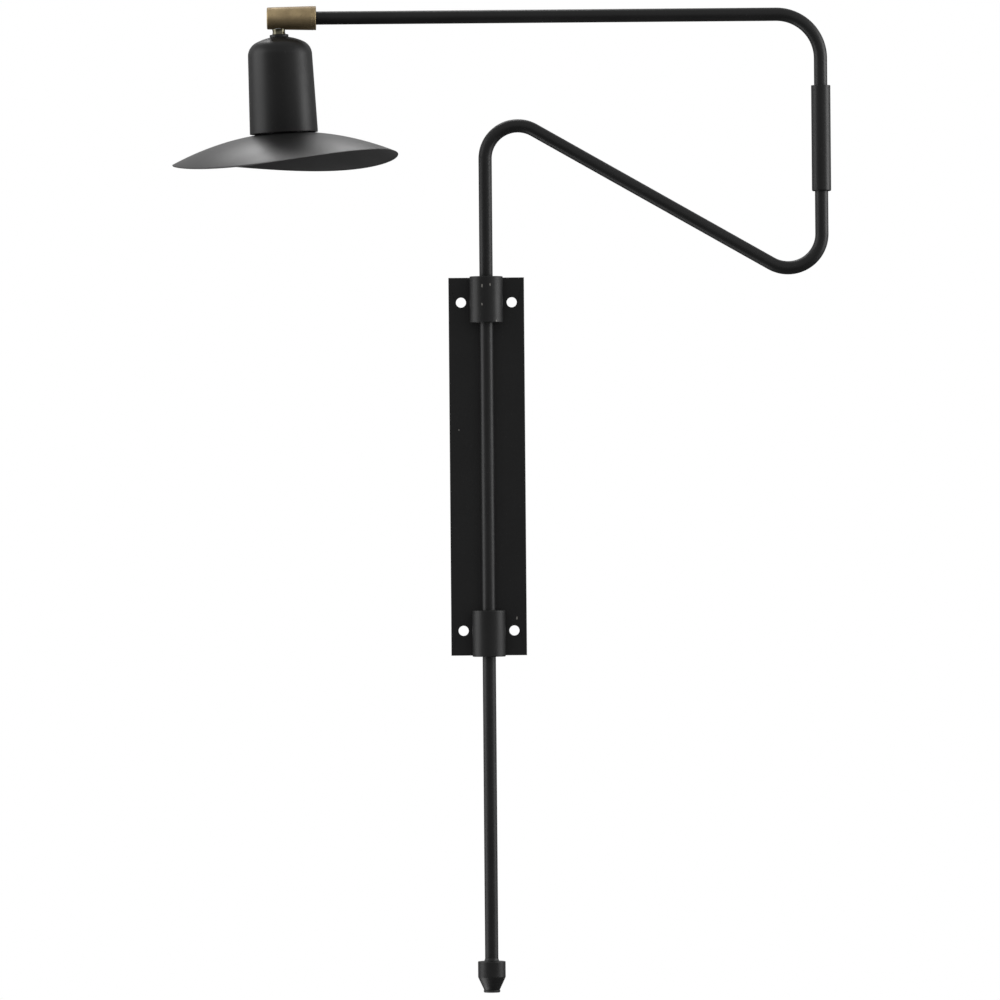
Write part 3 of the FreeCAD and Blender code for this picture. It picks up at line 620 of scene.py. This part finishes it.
class LampArms(bpy.types.PropertyGroup):
    """Sizes of the wall bracket, the tubes and the pieces on them."""
    tube_diameter: length_property("Tube", "Diameter of the arm tubes", 13.4 * MM)
    tube_wall: length_property("Tube wall", "Wall of the arm tubes", 1.2 * MM)
    tube_round: length_property("Tube end", "Rounding of the arm tube's foot", 1.0 * MM)
    first_bend: length_property("First bend", "Radius of the lower arm's bend over the mast", 32.9 * MM)
    second_bend: length_property("Second bend", "Radius of the lower arm's other bend", 34.2 * MM)
    upper_bend: length_property("Upper bend", "Radius of the upper arm's bend", 44.5 * MM)
    slope: angle_property("Slope", "Fall of the lower arm's diagonal", 29.8)
    plate_edge: length_property("Plate edge", "Rounding of the wall plate's front edge", 0.6 * MM)
    hole_diameter: length_property("Wall holes", "Diameter of the wall plate's holes", 10.2 * MM)
    hole_edge: length_property("Hole edge", "Rounding of the wall holes' front edges", 0.12 * MM)
    hole_side_inset: length_property("Hole inset, side", "From the plate's side to a hole", 12.5 * MM)
    hole_end_inset: length_property("Hole inset, end", "From the plate's end to a hole", 25.0 * MM)
    collar_edge: length_property("Collar edge", "Rounding of the collars' ends", 0.8 * MM)
    collar_bore: length_property("Collar bore", "Bore of the collars, round their bushes", 17.5 * MM)
    sleeve_foot: length_property("Sleeve foot", "Rounding of the swivel sleeve's foot", 1.5 * MM)
    grub_diameter: length_property("Set screws", "Diameter of the set screws' holes", 4.0 * MM)


class LampHead(bpy.types.PropertyGroup):
    """Sizes of the brass barrel, the neck, the cup and the shade."""
    barrel_edge: length_property("Barrel edge", "Rounding of the barrel's closed end", 1.0 * MM)
    barrel_closed: length_property("Barrel end", "Diameter of the barrel's closed end", 22.2 * MM)
    spacer_seat: length_property("Spacer seat", "From the barrel's axis to the spacer", 10.7 * MM)
    cup_taper: angle_property("Cup taper", "Flare of the cup's side", 1.45)
    cup_crown: length_property("Cup crown", "Radius of the cup's domed top", 54.0 * MM)
    cup_knuckle: length_property("Cup shoulder", "Radius of the cup's shoulder", 15.3 * MM)
    cup_wall: length_property("Cup wall", "Wall of the cup", 1.2 * MM)
    shade_rise: length_property("Shade rise", "Height of the shade's dome", 24.1 * MM)
    shade_fold: length_property("Shade droop", "Droop of the shade's two low sides", 12.4 * MM)
    fold_direction: angle_property("Droop direction", "Direction of the shade's ridge", -30.5)
    shade_sheet: length_property("Shade sheet", "Thickness of the shade's sheet", 1.0 * MM)
    thread_pitch: length_property("Shell thread", "Pitch of the screw shell's thread", 3.63 * MM)
    grip_ribs: IntProperty(name="Grip ribs", description="Ribs round the shade ring", default=32, min=8)


class LampStudio(bpy.types.PropertyGroup):
    """The studio's lights, floor and camera."""
    side_light: light_property("Side lights", "Brightness of the two side softboxes", 1.4)
    back_light: light_property("Back light", "Brightness of the softboxes behind the head", 3.4)
    swivel_light: light_property("Swivel light", "Brightness of the softbox by the swivel", 3.0)
    low_light: light_property("Low light", "Brightness of the softbox low on the left", 2.5)
    front_light: light_property("Front light", "Brightness of the weak light in front", 0.16)
    room_light: share_property("Room light", "Brightness of the room's even light", 0.45)
    ceiling: share_property("Mirrored ceiling", "Brightness that glossy faces show from above", 0.5)
    ground: share_property("Mirrored ground", "Brightness that glossy faces show from below", 0.1)
    floor_drop: length_property("Floor", "Height of the lamp's origin above the floor", 1.6)
    floor_reach: length_property("Floor radius", "Where the floor has faded out", 6.5)
    floor_colour: colour_property("Floor colour", "Colour of the floor", (0.8, 0.8, 0.79))
    lens: FloatProperty(name="Lens", description="Focal length in millimetres", default=285.46, min=1.0)
    roll: angle_property("Roll", "Turn of the camera about its view", -0.48)


# The pieces


class LAMP_OT_wall_plate(bpy.types.Operator):
    """Wall plate with rounded front edges and its holes"""
    bl_idname = "lamp.wall_plate"
    bl_label = "Wall Plate"

    def execute(self, context):
        sizes = context.scene.lamp_arms
        low, high = extent("wall_plate")
        lying = Matrix.Rotation(math.pi / 2, 4, "X")
        made = bmesh.new()
        bmesh.ops.create_grid(made, x_segments=1, y_segments=1, size=0.5,
                              matrix=lying @ Matrix.Diagonal((high.x - low.x, high.z - low.z, 1, 1)))
        bmesh.ops.delete(made, geom=made.faces[:], context="FACES_ONLY")
        across, rise = high.x - sizes.hole_side_inset, high.z - sizes.hole_end_inset
        screws, head, shank = self.screw_heights(), 4.9 * MM, 2.6 * MM
        holes = [(sizes.hole_diameter / 2, x, z) for z in (-rise, rise) for x in (-across, across)]
        for radius, x, z in holes + [(head, 0, z) for z in screws]:
            bmesh.ops.create_circle(made, cap_ends=False, segments=TUBE_SIDES, radius=radius,
                                    matrix=Matrix.Translation((x, 0, z)) @ lying)
        bmesh.ops.triangle_fill(made, use_beauty=True, edges=made.edges[:])
        grown = bmesh.ops.extrude_face_region(made, geom=made.faces[:])["geom"]
        moved = only(bmesh.types.BMVert, grown)
        bmesh.ops.translate(made, vec=(0, low.y, 0), verts=moved)
        for z in screws:
            ring = [spot for spot in moved if (spot.co - Vector((0, low.y, z))).length < head + JOIN]
            bmesh.ops.scale(made, vec=(shank / head, 1, shank / head), verts=ring,
                            space=Matrix.Translation((0, 0, -z)))
        bmesh.ops.recalc_face_normals(made, faces=made.faces)
        faces = [face for face in made.faces if face.calc_center_median().y < low.y + JOIN]
        bmesh.ops.inset_region(made, faces=faces, thickness=2 * sizes.plate_edge, use_boundary=True,
                               use_even_offset=True)
        for offset, bored in ((sizes.hole_edge, True), (sizes.plate_edge, False)):
            rims = [edge for edge in sharp_edges(made)
                    if all(end.co.y < low.y + JOIN for end in edge.verts)
                    and not any(abs(end.co.x) < 2 * head for end in edge.verts)
                    and (edge.calc_length() < MM) == bored]
            rounded(made, rims, offset)
        finish_piece("wall_plate", "coated", made, Matrix(), "bracket", "satin_black",
                     chipped_coat("wall_plate"))
        return {"FINISHED"}

    def screw_heights(self):
        """Heights of the collar screws, from the middles of the screw node's loose solids."""
        spots = sorted(vertex.co.z for vertex in frame["nodes"]["collar_screws"].data.vertices)
        groups, gap = [[spots[0]]], 5 * MM
        for height in spots[1:]:
            if height - groups[-1][-1] > gap:
                groups.append([])
            groups[-1].append(height)
        return [(heights[0] + heights[-1]) / 2 for heights in groups]


class LAMP_OT_collars(bpy.types.Operator):
    """Two thick round collars on the wall plate, each with a flat on its back"""
    bl_idname = "lamp.collars"
    bl_label = "Collars"

    def execute(self, context):
        sizes = context.scene.lamp_arms
        axis = joint_point("mast_swivel")
        bore, mouth = sizes.collar_bore / 2, 0.3 * MM
        for node in ("upper_collar", "lower_collar"):
            low, high = extent(node)
            outer = (high.x - low.x) / 2
            made = lathe((bore, low.z, mouth), (outer, low.z, sizes.collar_edge),
                         (outer, high.z, sizes.collar_edge), (bore, high.z, mouth))
            bmesh.ops.transform(made, matrix=standing(axis), verts=made.verts)
            cut = bmesh.ops.bisect_plane(made, geom=made.verts[:] + made.edges[:] + made.faces[:],
                                         plane_co=(0, high.y, 0), plane_no=ACROSS, dist=JOIN,
                                         clear_outer=True)["geom_cut"]
            bmesh.ops.edgeloop_fill(made, edges=only(bmesh.types.BMEdge, cut))
            finish_piece(node, "turned", made, Matrix(), "bracket", "satin_black",
                         chipped_coat(node, axis, outer))
        return {"FINISHED"}


class LAMP_OT_tubes(bpy.types.Operator):
    """Mast tube and the two bent arm tubes"""
    bl_idname = "lamp.tubes"
    bl_label = "Tubes"

    def execute(self, context):
        sizes = context.scene.lamp_arms
        radius, slope = sizes.tube_diameter / 2, sizes.slope
        first, second = sizes.first_bend, sizes.second_bend
        mast, swivel = joint_point("mast_swivel"), joint_point("arm_swivel")
        low, high = extent("mast_tube")
        self.tube("mast_tube", "drawn", mast, low.z, [run(0, 0, high.z - low.z)], "lower_arm")
        low, high = extent("lower_arm_tube")
        first_z = high.z - radius - first
        turn = math.pi / 2 + slope
        level = swivel.x - (first + second) * (1 + math.sin(slope))
        fall = level * math.tan(slope)
        second_z = first_z + (first + second) * math.cos(slope) - fall
        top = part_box("swivel_thrust_washer")[0].z
        moves = [run(0, 0, first_z - low.z), bend((first, mast.y, first_z), turn), run(level, 0, -fall),
                 bend((swivel.x - second, mast.y, second_z), -turn), run(0, 0, top - second_z)]
        self.tube("lower_arm_tube", "bent", mast, low.z, moves, "lower_arm", sizes.tube_round)
        low, high = extent("upper_arm_tube")
        corner_z = high.z - radius - sizes.upper_bend
        corner_x = swivel.x - sizes.upper_bend
        moves = [run(0, 0, corner_z - low.z), bend((corner_x, mast.y, corner_z), -math.pi / 2),
                 run(low.x - corner_x, 0, 0)]
        self.tube("upper_arm_tube", "bent", swivel, low.z, moves, "upper_arm")
        return {"FINISHED"}

    def tube(self, node, work, axis, foot, moves, body, rounding=0.0):
        sizes = bpy.context.scene.lamp_arms
        radius = sizes.tube_diameter / 2
        made = bmesh.new()
        bmesh.ops.create_circle(made, cap_ends=False, segments=TUBE_SIDES, radius=radius,
                                matrix=Matrix.Translation((axis.x, axis.y, foot)))
        trace(made, made.verts[:] + made.edges[:], moves)
        walled(made, sizes.tube_wall)
        if rounding > 0:
            rim = [edge for edge in made.edges
                   if all(abs(end.co.z - foot) < JOIN
                          and (end.co.xy - axis.xy).length > radius - JOIN for end in edge.verts)]
            rounded(made, rim, rounding)
        finish_piece(node, work, made, Matrix(), body, "satin_black")


class LAMP_OT_swivel_sleeve(bpy.types.Operator):
    """Sleeve between the two arms, with its set screws' holes at the back"""
    bl_idname = "lamp.swivel_sleeve"
    bl_label = "Swivel Sleeve"

    def execute(self, context):
        sizes = context.scene.lamp_arms
        axis = joint_point("arm_swivel")
        low, high = extent("swivel_sleeve")
        outer, tube = (high.x - low.x) / 2, sizes.tube_diameter / 2
        bush = (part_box("sleeve_bush")[1].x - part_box("sleeve_bush")[0].x) / 2
        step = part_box("swivel_thrust_washer")[0].z
        made = lathe((tube, low.z, 0.2 * MM), (outer, low.z, sizes.sleeve_foot),
                     (outer, high.z, 0.5 * MM), (bush, high.z, 0.2 * MM), (bush, step, 0),
                     (tube, step, 0))
        bmesh.ops.transform(made, matrix=standing(axis), verts=made.verts)
        holes = [grub_cutter(Vector((axis.x, axis.y, middle_of(node).z)), outer * 2)
                 for node in ("sleeve_grub_screw", "keeper_screw")]
        finish_piece("swivel_sleeve", "turned", drilled(made, *holes), Matrix(), "lower_arm",
                     "satin_black")
        return {"FINISHED"}


class LAMP_OT_cord_outlet(bpy.types.Operator):
    """Turned cap at the mast's foot and its rubber grommet"""
    bl_idname = "lamp.cord_outlet"
    bl_label = "Cord Outlet"

    def execute(self, context):
        axis = joint_point("mast_swivel")
        low, high = extent("cord_outlet_cap")
        outer, tube = (high.x - low.x) / 2, context.scene.lamp_arms.tube_diameter / 2
        nose, stem, bore = 7.8 * MM, 5.8 * MM, 3.3 * MM
        crown = high.z - 3.0 * MM
        shoulder = crown - 15.8 * MM
        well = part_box("outlet_grommet")[1].z
        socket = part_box("mast_tube")[0].z
        made = lathe((tube, high.z, 0), (tube + 0.5 * MM, crown + 1.0 * MM, 0.6 * MM),
                     (tube + 1.9 * MM, crown, 0.3 * MM), (outer, crown, 0.7 * MM),
                     (outer, shoulder, 0.5 * MM), (nose, low.z, 0.3 * MM), (stem, low.z, 0),
                     (stem, well, 0), (bore, well, 0), (bore, socket, 0), (tube, socket, 0))
        bmesh.ops.transform(made, matrix=standing(axis), verts=made.verts)
        hole = grub_cutter(Vector((axis.x, axis.y, middle_of("cap_grub_screw").z)), outer * 2)
        finish_piece("cord_outlet_cap", "turned", drilled(made, hole), Matrix(), "lower_arm",
                     "satin_black")
        low, high = extent("outlet_grommet")
        lip, bore = (high.x - low.x) / 2, 4.0 * MM
        seat = low.z + 2.4 * MM
        made = lathe((bore, high.z, 0), (stem, high.z, 0), (stem, seat, 0), (lip, seat, 0.3 * MM),
                     (lip, low.z, 0.9 * MM), (bore, low.z, 0.8 * MM))
        finish_piece("outlet_grommet", "moulded", made, standing(axis), "lower_arm", "grommet_rubber")
        return {"FINISHED"}


class LAMP_OT_barrel(bpy.types.Operator):
    """Brass barrel on the arm's end with its lock ring and end plug"""
    bl_idname = "lamp.barrel"
    bl_label = "Brass Barrel"

    def execute(self, context):
        sizes = context.scene.lamp_head
        place = along_arm()
        plug_low, plug_high = extent("barrel_end_plug", place)
        cavity = (plug_high.y - plug_low.y) / 2
        bore = context.scene.lamp_arms.tube_diameter / 2 + 0.05 * MM
        step = extent("arm_end_bush", place)[0].z + 2.1 * MM
        low, high = extent("brass_barrel", place)
        outer = (high.y - low.y) / 2
        made = lathe((cavity, low.z, 0.15 * MM), (sizes.barrel_closed / 2, low.z, sizes.barrel_edge),
                     (outer, high.z, 0.2 * MM), (bore, high.z, 0), (bore, step, 0), (cavity, step, 0))
        bmesh.ops.transform(made, matrix=place, verts=made.verts)
        made = drilled(made, *self.cutters(outer * 2, sizes.spacer_seat))
        finish_piece("brass_barrel", "turned", made, Matrix(), "knuckle", "aged_brass")
        low, high = extent("barrel_lock_ring", place)
        ring, middle = (high.y - low.y) / 2, (high.z + low.z) / 2
        groove, depth = 0.35 * MM, 0.3 * MM
        made = lathe((bore, low.z, 0), (ring, low.z, 0.4 * MM), (ring, middle - groove, 0.1 * MM),
                     (ring - depth, middle - groove / 2, 0), (ring - depth, middle + groove / 2, 0),
                     (ring, middle + groove, 0.1 * MM), (ring, high.z, 0.5 * MM), (bore, high.z, 0))
        finish_piece("barrel_lock_ring", "turned", made, place, "knuckle", "aged_brass")
        made = lathe((0, plug_low.z, 0), (cavity, plug_low.z, 0.25 * MM), (cavity, plug_high.z, 0),
                     (0, plug_high.z, 0))
        finish_piece("barrel_end_plug", "turned", made, place, "knuckle", "aged_brass")
        return {"FINISHED"}

    def cutters(self, reach, seat):
        """Cutters for the set screw's hole and for the stud's and spacer's holes under the barrel."""
        centre = joint_point("head_tilt")
        made = [grub_cutter(Vector((middle_of("tilt_grub_screw").x, centre.y, centre.z)), reach)]
        stud_hole, spacer_hole = STUD_RADIUS + 0.05 * MM, 7.05 * MM
        for radius, top in ((stud_hole, 0.0), (spacer_hole, -seat)):
            middle = hanging() @ Matrix.Translation((0, 0, (top - reach) / 2))
            made.append(round_cutter(radius, top + reach, middle))
        return made


class LAMP_OT_neck(bpy.types.Operator):
    """Polished spacer and domed washer between barrel and cup"""
    bl_idname = "lamp.neck"
    bl_label = "Neck"

    def execute(self, context):
        neck_colour = context.scene.lamp_finishes.neck_colour
        place, stud = hanging(), STUD_RADIUS
        low, high = extent("neck_spacer", place)
        outer = (high.y - low.y) / 2
        waist, third = outer - 0.45 * MM, (high.z - low.z) / 3
        made = lathe((stud, low.z, 0), (outer, low.z, 0.2 * MM), (waist, low.z + third, 0.8 * MM),
                     (waist, high.z - third, 0.8 * MM), (outer, high.z, 0.2 * MM), (stud, high.z, 0))
        polished = material("polished_brass", metal_material, neck_colour, 0.2)
        finish_piece("neck_spacer", "turned", made, place, "head", "aged_brass", polished)
        low, high = extent("neck_washer", place)
        outer, rim = (high.y - low.y) / 2, 0.4 * MM
        middle, flat = (stud + outer) / 2, 6.75 * MM
        made = lathe((stud, crown_height(place, stud), 0), (middle, crown_height(place, middle), 0),
                     (outer, crown_height(place, outer), 0.15 * MM), (outer, high.z - rim, rim),
                     (flat, high.z, 0.3 * MM), (stud, high.z, 0))
        finish_piece("neck_washer", "turned", made, place, "head", "satin_black")
        return {"FINISHED"}


class LAMP_OT_head_cup(bpy.types.Operator):
    """Spun cup with a domed top and a rounded shoulder"""
    bl_idname = "lamp.head_cup"
    bl_label = "Head Cup"

    def execute(self, context):
        sizes = context.scene.lamp_head
        place = hanging()
        low, high = extent("head_cup", place)
        rim = (high.x - low.x) / 2
        crown, taper = sizes.cup_crown, sizes.cup_taper
        crown_z = crown_height(place, 0.0) - crown
        shoulder = self.shoulder(sizes, rim, low.z, crown_z)
        lean = math.atan2(shoulder.x, shoulder.z - crown_z)
        start = math.asin(STUD_RADIUS / crown)
        made = bmesh.new()
        point = made.verts.new((STUD_RADIUS, 0, crown_z + crown * math.cos(start)))
        end = trace(made, [point], [bend((0, 0, crown_z), lean - start),
                                    bend(shoulder, math.pi / 2 - taper - lean)])
        last = only(bmesh.types.BMVert, end)[0]
        trace(made, [last], [run(rim - last.co.x, 0, low.z - last.co.z)])
        spun(made)
        walled(made, sizes.cup_wall)
        edges = [edge for edge in sharp_edges(made)
                 if all(end.co.z < low.z + 0.5 * MM for end in edge.verts)]
        rounded(made, edges, 0.35 * MM, SHEET_SEGMENTS)
        chipped = chipped_coat("head_cup", joint_point("head_spin"), 0.97 * rim)
        finish_piece("head_cup", "spun", made, place, "head", "satin_black", chipped)
        return {"FINISHED"}

    def shoulder(self, sizes, rim, foot, crown_z):
        """Centre of the shoulder's arc, which touches both the tapered side and the crown's arc."""
        knuckle, slant = sizes.cup_knuckle, math.tan(sizes.cup_taper)
        side = rim - knuckle / math.cos(sizes.cup_taper)
        lift = foot - crown_z
        square = 1 + slant ** 2
        half = lift - side * slant
        rest = side ** 2 + lift ** 2 - (sizes.cup_crown - knuckle) ** 2
        climb = (-half + math.sqrt(half ** 2 - square * rest)) / square
        return Vector((side - climb * slant, 0, foot + climb))


def crown_height(place, radius):
    """Height of the cup's domed crown at a radius from its axis."""
    crown = bpy.context.scene.lamp_head.cup_crown
    centre = extent("head_cup", place)[1].z - math.sqrt(crown ** 2 - STUD_RADIUS ** 2)
    return centre + math.sqrt(crown ** 2 - radius ** 2)


class LAMP_OT_lamp_shade(bpy.types.Operator):
    """Shallow domed shade with two drooping sides, and the ring that clamps it"""
    bl_idname = "lamp.lamp_shade"
    bl_label = "Lamp Shade"

    def execute(self, context):
        sizes, finishes = context.scene.lamp_head, context.scene.lamp_finishes
        place = hanging()
        low, high = extent("lamp_shade", place)
        reach, hole = (high.x - low.x) / 2, 20.1 * MM
        base = high.z - self.rise(sizes, hole, 0, reach)
        made = bmesh.new()
        point = made.verts.new((hole, 0, 0))
        rings, sides = 48, 160
        trace(made, [point], [run((reach - hole) / rings, 0, 0, steps=rings)])
        spun(made, sides)
        for vertex in made.verts:
            vertex.co.z = base + self.rise(sizes, vertex.co.x, vertex.co.y, reach)
        if made.faces[:][0].normal.z < 0:
            bmesh.ops.reverse_faces(made, faces=made.faces[:])
        made.normal_update()
        bmesh.ops.solidify(made, geom=made.faces[:], thickness=sizes.shade_sheet)
        rounded(made, sharp_edges(made), 0.3 * MM, SHEET_SEGMENTS)
        glossy = material("satin_black_shade", coat_material, (), finishes.shade_gloss,
                          finishes.shade_roughness)
        finish_piece("lamp_shade", "pressed", made, place, "head", "satin_black", glossy)
        self.clamp_ring(sizes, place)
        return {"FINISHED"}

    def rise(self, sizes, x, y, reach):
        """Height of the shade's upper face above its base."""
        across = y * math.cos(sizes.fold_direction) - x * math.sin(sizes.fold_direction)
        dome = sizes.shade_rise * (1 - (x * x + y * y) / reach ** 2)
        return dome - sizes.shade_fold * (across / reach) ** 2

    def clamp_ring(self, sizes, place):
        """Threaded ring with a ribbed grip."""
        low, high = extent("shade_ring", place)
        outer, bore = (high.y - low.y) / 2, 19.8 * MM
        made = lathe((bore, low.z, 0.3 * MM), (outer, low.z, 0.7 * MM), (outer, high.z, 0.7 * MM),
                     (bore, high.z, 0), steps=sizes.grip_ribs * 2)
        middles = {face: face.calc_center_median() for face in made.faces
                   if abs(face.normal.z) < 0.1 and face.calc_area() > 10 * MM * MM}
        grip = [face for face, middle in middles.items() if middle.xy.length > (outer + bore) / 2]
        grip.sort(key=lambda face: math.atan2(middles[face].y, middles[face].x))
        bmesh.ops.inset_individual(made, faces=grip[::2], thickness=0.5 * MM, depth=-0.6 * MM)
        finish_piece("shade_ring", "ribbed", made, place, "head", "socket_moulding")


class LAMP_OT_socket(bpy.types.Operator):
    """Rolled screw shell of the lamp socket"""
    bl_idname = "lamp.socket"
    bl_label = "Lamp Socket"

    def execute(self, context):
        pitch = context.scene.lamp_head.thread_pitch
        place = hanging()
        low, high = extent("screw_shell", place)
        depth, rows, fade = 0.55 * MM, 84, 2 * MM
        root = (high.y - low.y) / 2 - depth
        made = bmesh.new()
        point = made.verts.new((root, 0, low.z))
        trace(made, [point], [run(0, 0, (high.z - low.z) / rows, steps=rows)])
        spun(made)
        for vertex in made.verts:
            height = vertex.co.z - low.z
            wave = math.sin(math.tau * height / pitch - math.atan2(vertex.co.y, vertex.co.x))
            ends = min(1.0, height / fade, (high.z - vertex.co.z) / fade)
            vertex.co.xy *= 1 + depth * wave * ends / root
        walled(made, 0.3 * MM)
        finish_piece("screw_shell", "rolled", made, place, "head", "contact_brass")
        return {"FINISHED"}


class LAMP_OT_fittings(bpy.types.Operator):
    """Finishes for the screws, bushes, contacts and leads that keep their frame shapes"""
    bl_idname = "lamp.fittings"
    bl_label = "Fittings"

    def execute(self, context):
        groups = {
            "bearing_plastic": ("upper_collar_bush", "lower_collar_bush", "sleeve_bush",
                                "swivel_thrust_washer", "arm_end_bush"),
            "black_steel": ("cap_grub_screw", "sleeve_grub_screw", "keeper_screw", "tilt_grub_screw"),
            "zinc_plate": ("collar_screws", "upper_arm_ferrule", "swivel_stud", "cup_inner_washer",
                           "cup_lock_nut"),
            "satin_black": ("mast_coupling",),
            "socket_moulding": ("socket_body",),
            "contact_brass": ("socket_cap", "centre_contact", "terminal_screws"),
            "flex_sheath": ("lower_flex", "upper_flex", "knuckle_lead", "head_lead"),
        }
        for name, nodes in groups.items():
            for node in nodes:
                mesh = frame["nodes"][node].data
                mesh.materials.clear()
                mesh.materials.append(finish(name))
        return {"FINISHED"}


# The studio


class LAMP_OT_studio(bpy.types.Operator):
    """Camera, soft lights, floor and white background"""
    bl_idname = "lamp.studio"
    bl_label = "Studio"

    def execute(self, context):
        studio = context.scene.lamp_studio
        context.scene.view_settings.view_transform = "Standard"
        self.camera(studio)
        self.background(studio)
        self.floor(studio)
        middle = Vector((0, -0.02, 0.1))
        head, swivel = joint_point("head_spin"), joint_point("arm_swivel")
        # Each light's name, aim, azimuth, elevation, distance, width and height, and brightness
        boxes = (("left softbox", middle, -85, 8, 2.4, (1.9, 2.8), studio.side_light),
                 ("right softbox", middle, 85, 8, 2.4, (1.9, 2.8), studio.side_light),
                 ("back left softbox", head, 196, 48, 1.1, (0.26, 0.5), studio.back_light),
                 ("back right softbox", head, 164, 48, 1.1, (0.26, 0.5), studio.back_light),
                 ("low softbox", middle, -90, -52, 1.8, (1.2, 0.8), studio.low_light),
                 ("swivel softbox", swivel, 82, 7, 1.0, (0.4, 0.5), studio.swivel_light),
                 ("front light", middle, 30, 10, 3.5, (2.0, 2.0), studio.front_light))
        for box in boxes:
            self.softbox(*box)
        return {"FINISHED"}

    def camera(self, studio):
        data = bpy.data.cameras.new("camera")
        data.lens, data.sensor_width = studio.lens, SENSOR_WIDTH
        camera = bpy.data.objects.new("camera", data)
        turn = Matrix(camera_axes()).transposed().to_4x4()
        camera.matrix_world = Matrix.Translation(CAMERA_PLACE) @ turn
        bpy.context.scene.collection.objects.link(camera)
        bpy.context.scene.camera = camera

    def background(self, studio):
        """White to the camera, dimmer in reflections, and an even light for matt faces."""
        world = bpy.data.worlds.new("room")
        bpy.context.scene.world = world
        world.use_nodes = True
        tree = world.node_tree
        tree.nodes.clear()
        path = add(tree, "LightPath").outputs
        seen = math_node(tree, "MAXIMUM", path["Is Camera Ray"], path["Is Transmission Ray"])
        height = add(tree, "SeparateXYZ", {0: add(tree, "TexCoord").outputs["Generated"]}).outputs["Z"]
        lowest, highest = -0.3, 0.36
        mirrored = ranged(tree, height, lowest, highest, studio.ground, studio.ceiling)
        plain = mix_values(tree, path["Is Glossy Ray"], studio.room_light, mirrored)
        strength = mix_values(tree, seen, plain, 1.0)
        light = add(tree, "Background", {"Color": (1, 1, 1, 1), "Strength": strength})
        add(tree, "OutputWorld", {"Surface": light.outputs["Background"]})

    def floor(self, studio):
        """A pale round floor that fades into the white; it isn't there from below or in reflections."""
        made = bmesh.new()
        bmesh.ops.create_circle(made, cap_ends=True, segments=ROUND_STEPS, radius=studio.floor_reach,
                                matrix=Matrix.Translation((0, 0, -studio.floor_drop)))
        material, tree, shader, place = new_material("floor")
        drive(tree, shader, Base_Color=rgba(studio.floor_colour), Roughness=0.9, Specular_IOR_Level=0.1)
        away = vector_node(tree, "LENGTH", "Value", place)
        solid_reach = studio.floor_drop + 0.5
        fade = ranged(tree, away, solid_reach, studio.floor_reach)
        below = add(tree, "NewGeometry").outputs["Backfacing"]
        hidden = math_node(tree, "MAXIMUM", below, add(tree, "LightPath").outputs["Is Glossy Ray"])
        clear = add(tree, "BsdfTransparent")
        mixed = add(tree, "MixShader", {0: math_node(tree, "MAXIMUM", fade, hidden),
                                        1: shader.outputs["BSDF"], 2: clear.outputs["BSDF"]})
        output = next(node for node in tree.nodes if node.type == "OUTPUT_MATERIAL")
        tree.links.new(mixed.outputs["Shader"], output.inputs["Surface"])
        mesh = as_mesh(made, "floor")
        mesh.materials.append(material)
        floor = bpy.data.objects.new("floor", mesh)
        bpy.context.scene.collection.objects.link(floor)

    def softbox(self, name, aim, azimuth, elevation, distance, size, brightness):
        """An area light towards a point; azimuth 0 is the camera's side and 90 is +X."""
        turn, lift = math.radians(azimuth), math.radians(elevation)
        level = math.cos(lift)
        towards = Vector((math.sin(turn) * level, -math.cos(turn) * level, math.sin(lift)))
        data = bpy.data.lights.new(name, "AREA")
        data.shape, (data.size, data.size_y) = "RECTANGLE", size
        data.energy = brightness * size[0] * size[1] * LIGHT_POWER
        light = bpy.data.objects.new(name, data)
        light.location = aim + towards * distance
        light.rotation_euler = (-towards).to_track_quat("-Z", "Y").to_euler()
        light.visible_camera = False
        bpy.context.scene.collection.objects.link(light)


class LAMP_PT_panel(bpy.types.Panel):
    """Lists the lamp's operators in the sidebar"""
    bl_idname = "LAMP_PT_panel"
    bl_label = "Lamp"
    bl_space_type = "VIEW_3D"
    bl_region_type = "UI"
    bl_category = "Lamp"

    def draw(self, context):
        for operator in OPERATORS:
            self.layout.operator(operator.bl_idname)
        for name in SETTINGS:
            settings, column = getattr(context.scene, name), self.layout.column()
            for key in settings.__annotations__:
                column.prop(settings, key)


SETTINGS = {"lamp_finishes": LampFinishes, "lamp_arms": LampArms, "lamp_head": LampHead,
            "lamp_studio": LampStudio}
OPERATORS = (LAMP_OT_studio, LAMP_OT_wall_plate, LAMP_OT_collars, LAMP_OT_tubes, LAMP_OT_swivel_sleeve,
             LAMP_OT_cord_outlet, LAMP_OT_barrel, LAMP_OT_neck, LAMP_OT_head_cup, LAMP_OT_lamp_shade,
             LAMP_OT_socket, LAMP_OT_fittings)


def register():
    for settings in SETTINGS.values():
        bpy.utils.register_class(settings)
    for operator in OPERATORS:
        bpy.utils.register_class(operator)
    bpy.utils.register_class(LAMP_PT_panel)
    for name, settings in SETTINGS.items():
        setattr(bpy.types.Scene, name, PointerProperty(type=settings))


def unregister():
    for name in SETTINGS:
        delattr(bpy.types.Scene, name)
    bpy.utils.unregister_class(LAMP_PT_panel)
    for operator in reversed(OPERATORS):
        bpy.utils.unregister_class(operator)
    for settings in SETTINGS.values():
        bpy.utils.unregister_class(settings)


def main():
    register()
    for build in (build_grain_group, build_lathe_group, build_chip_group, build_edge_group):
        build()
    for operator in OPERATORS:
        family, name = operator.bl_idname.split(".")
        getattr(getattr(bpy.ops, family), name)()


if __name__ == "__main__":
    main()
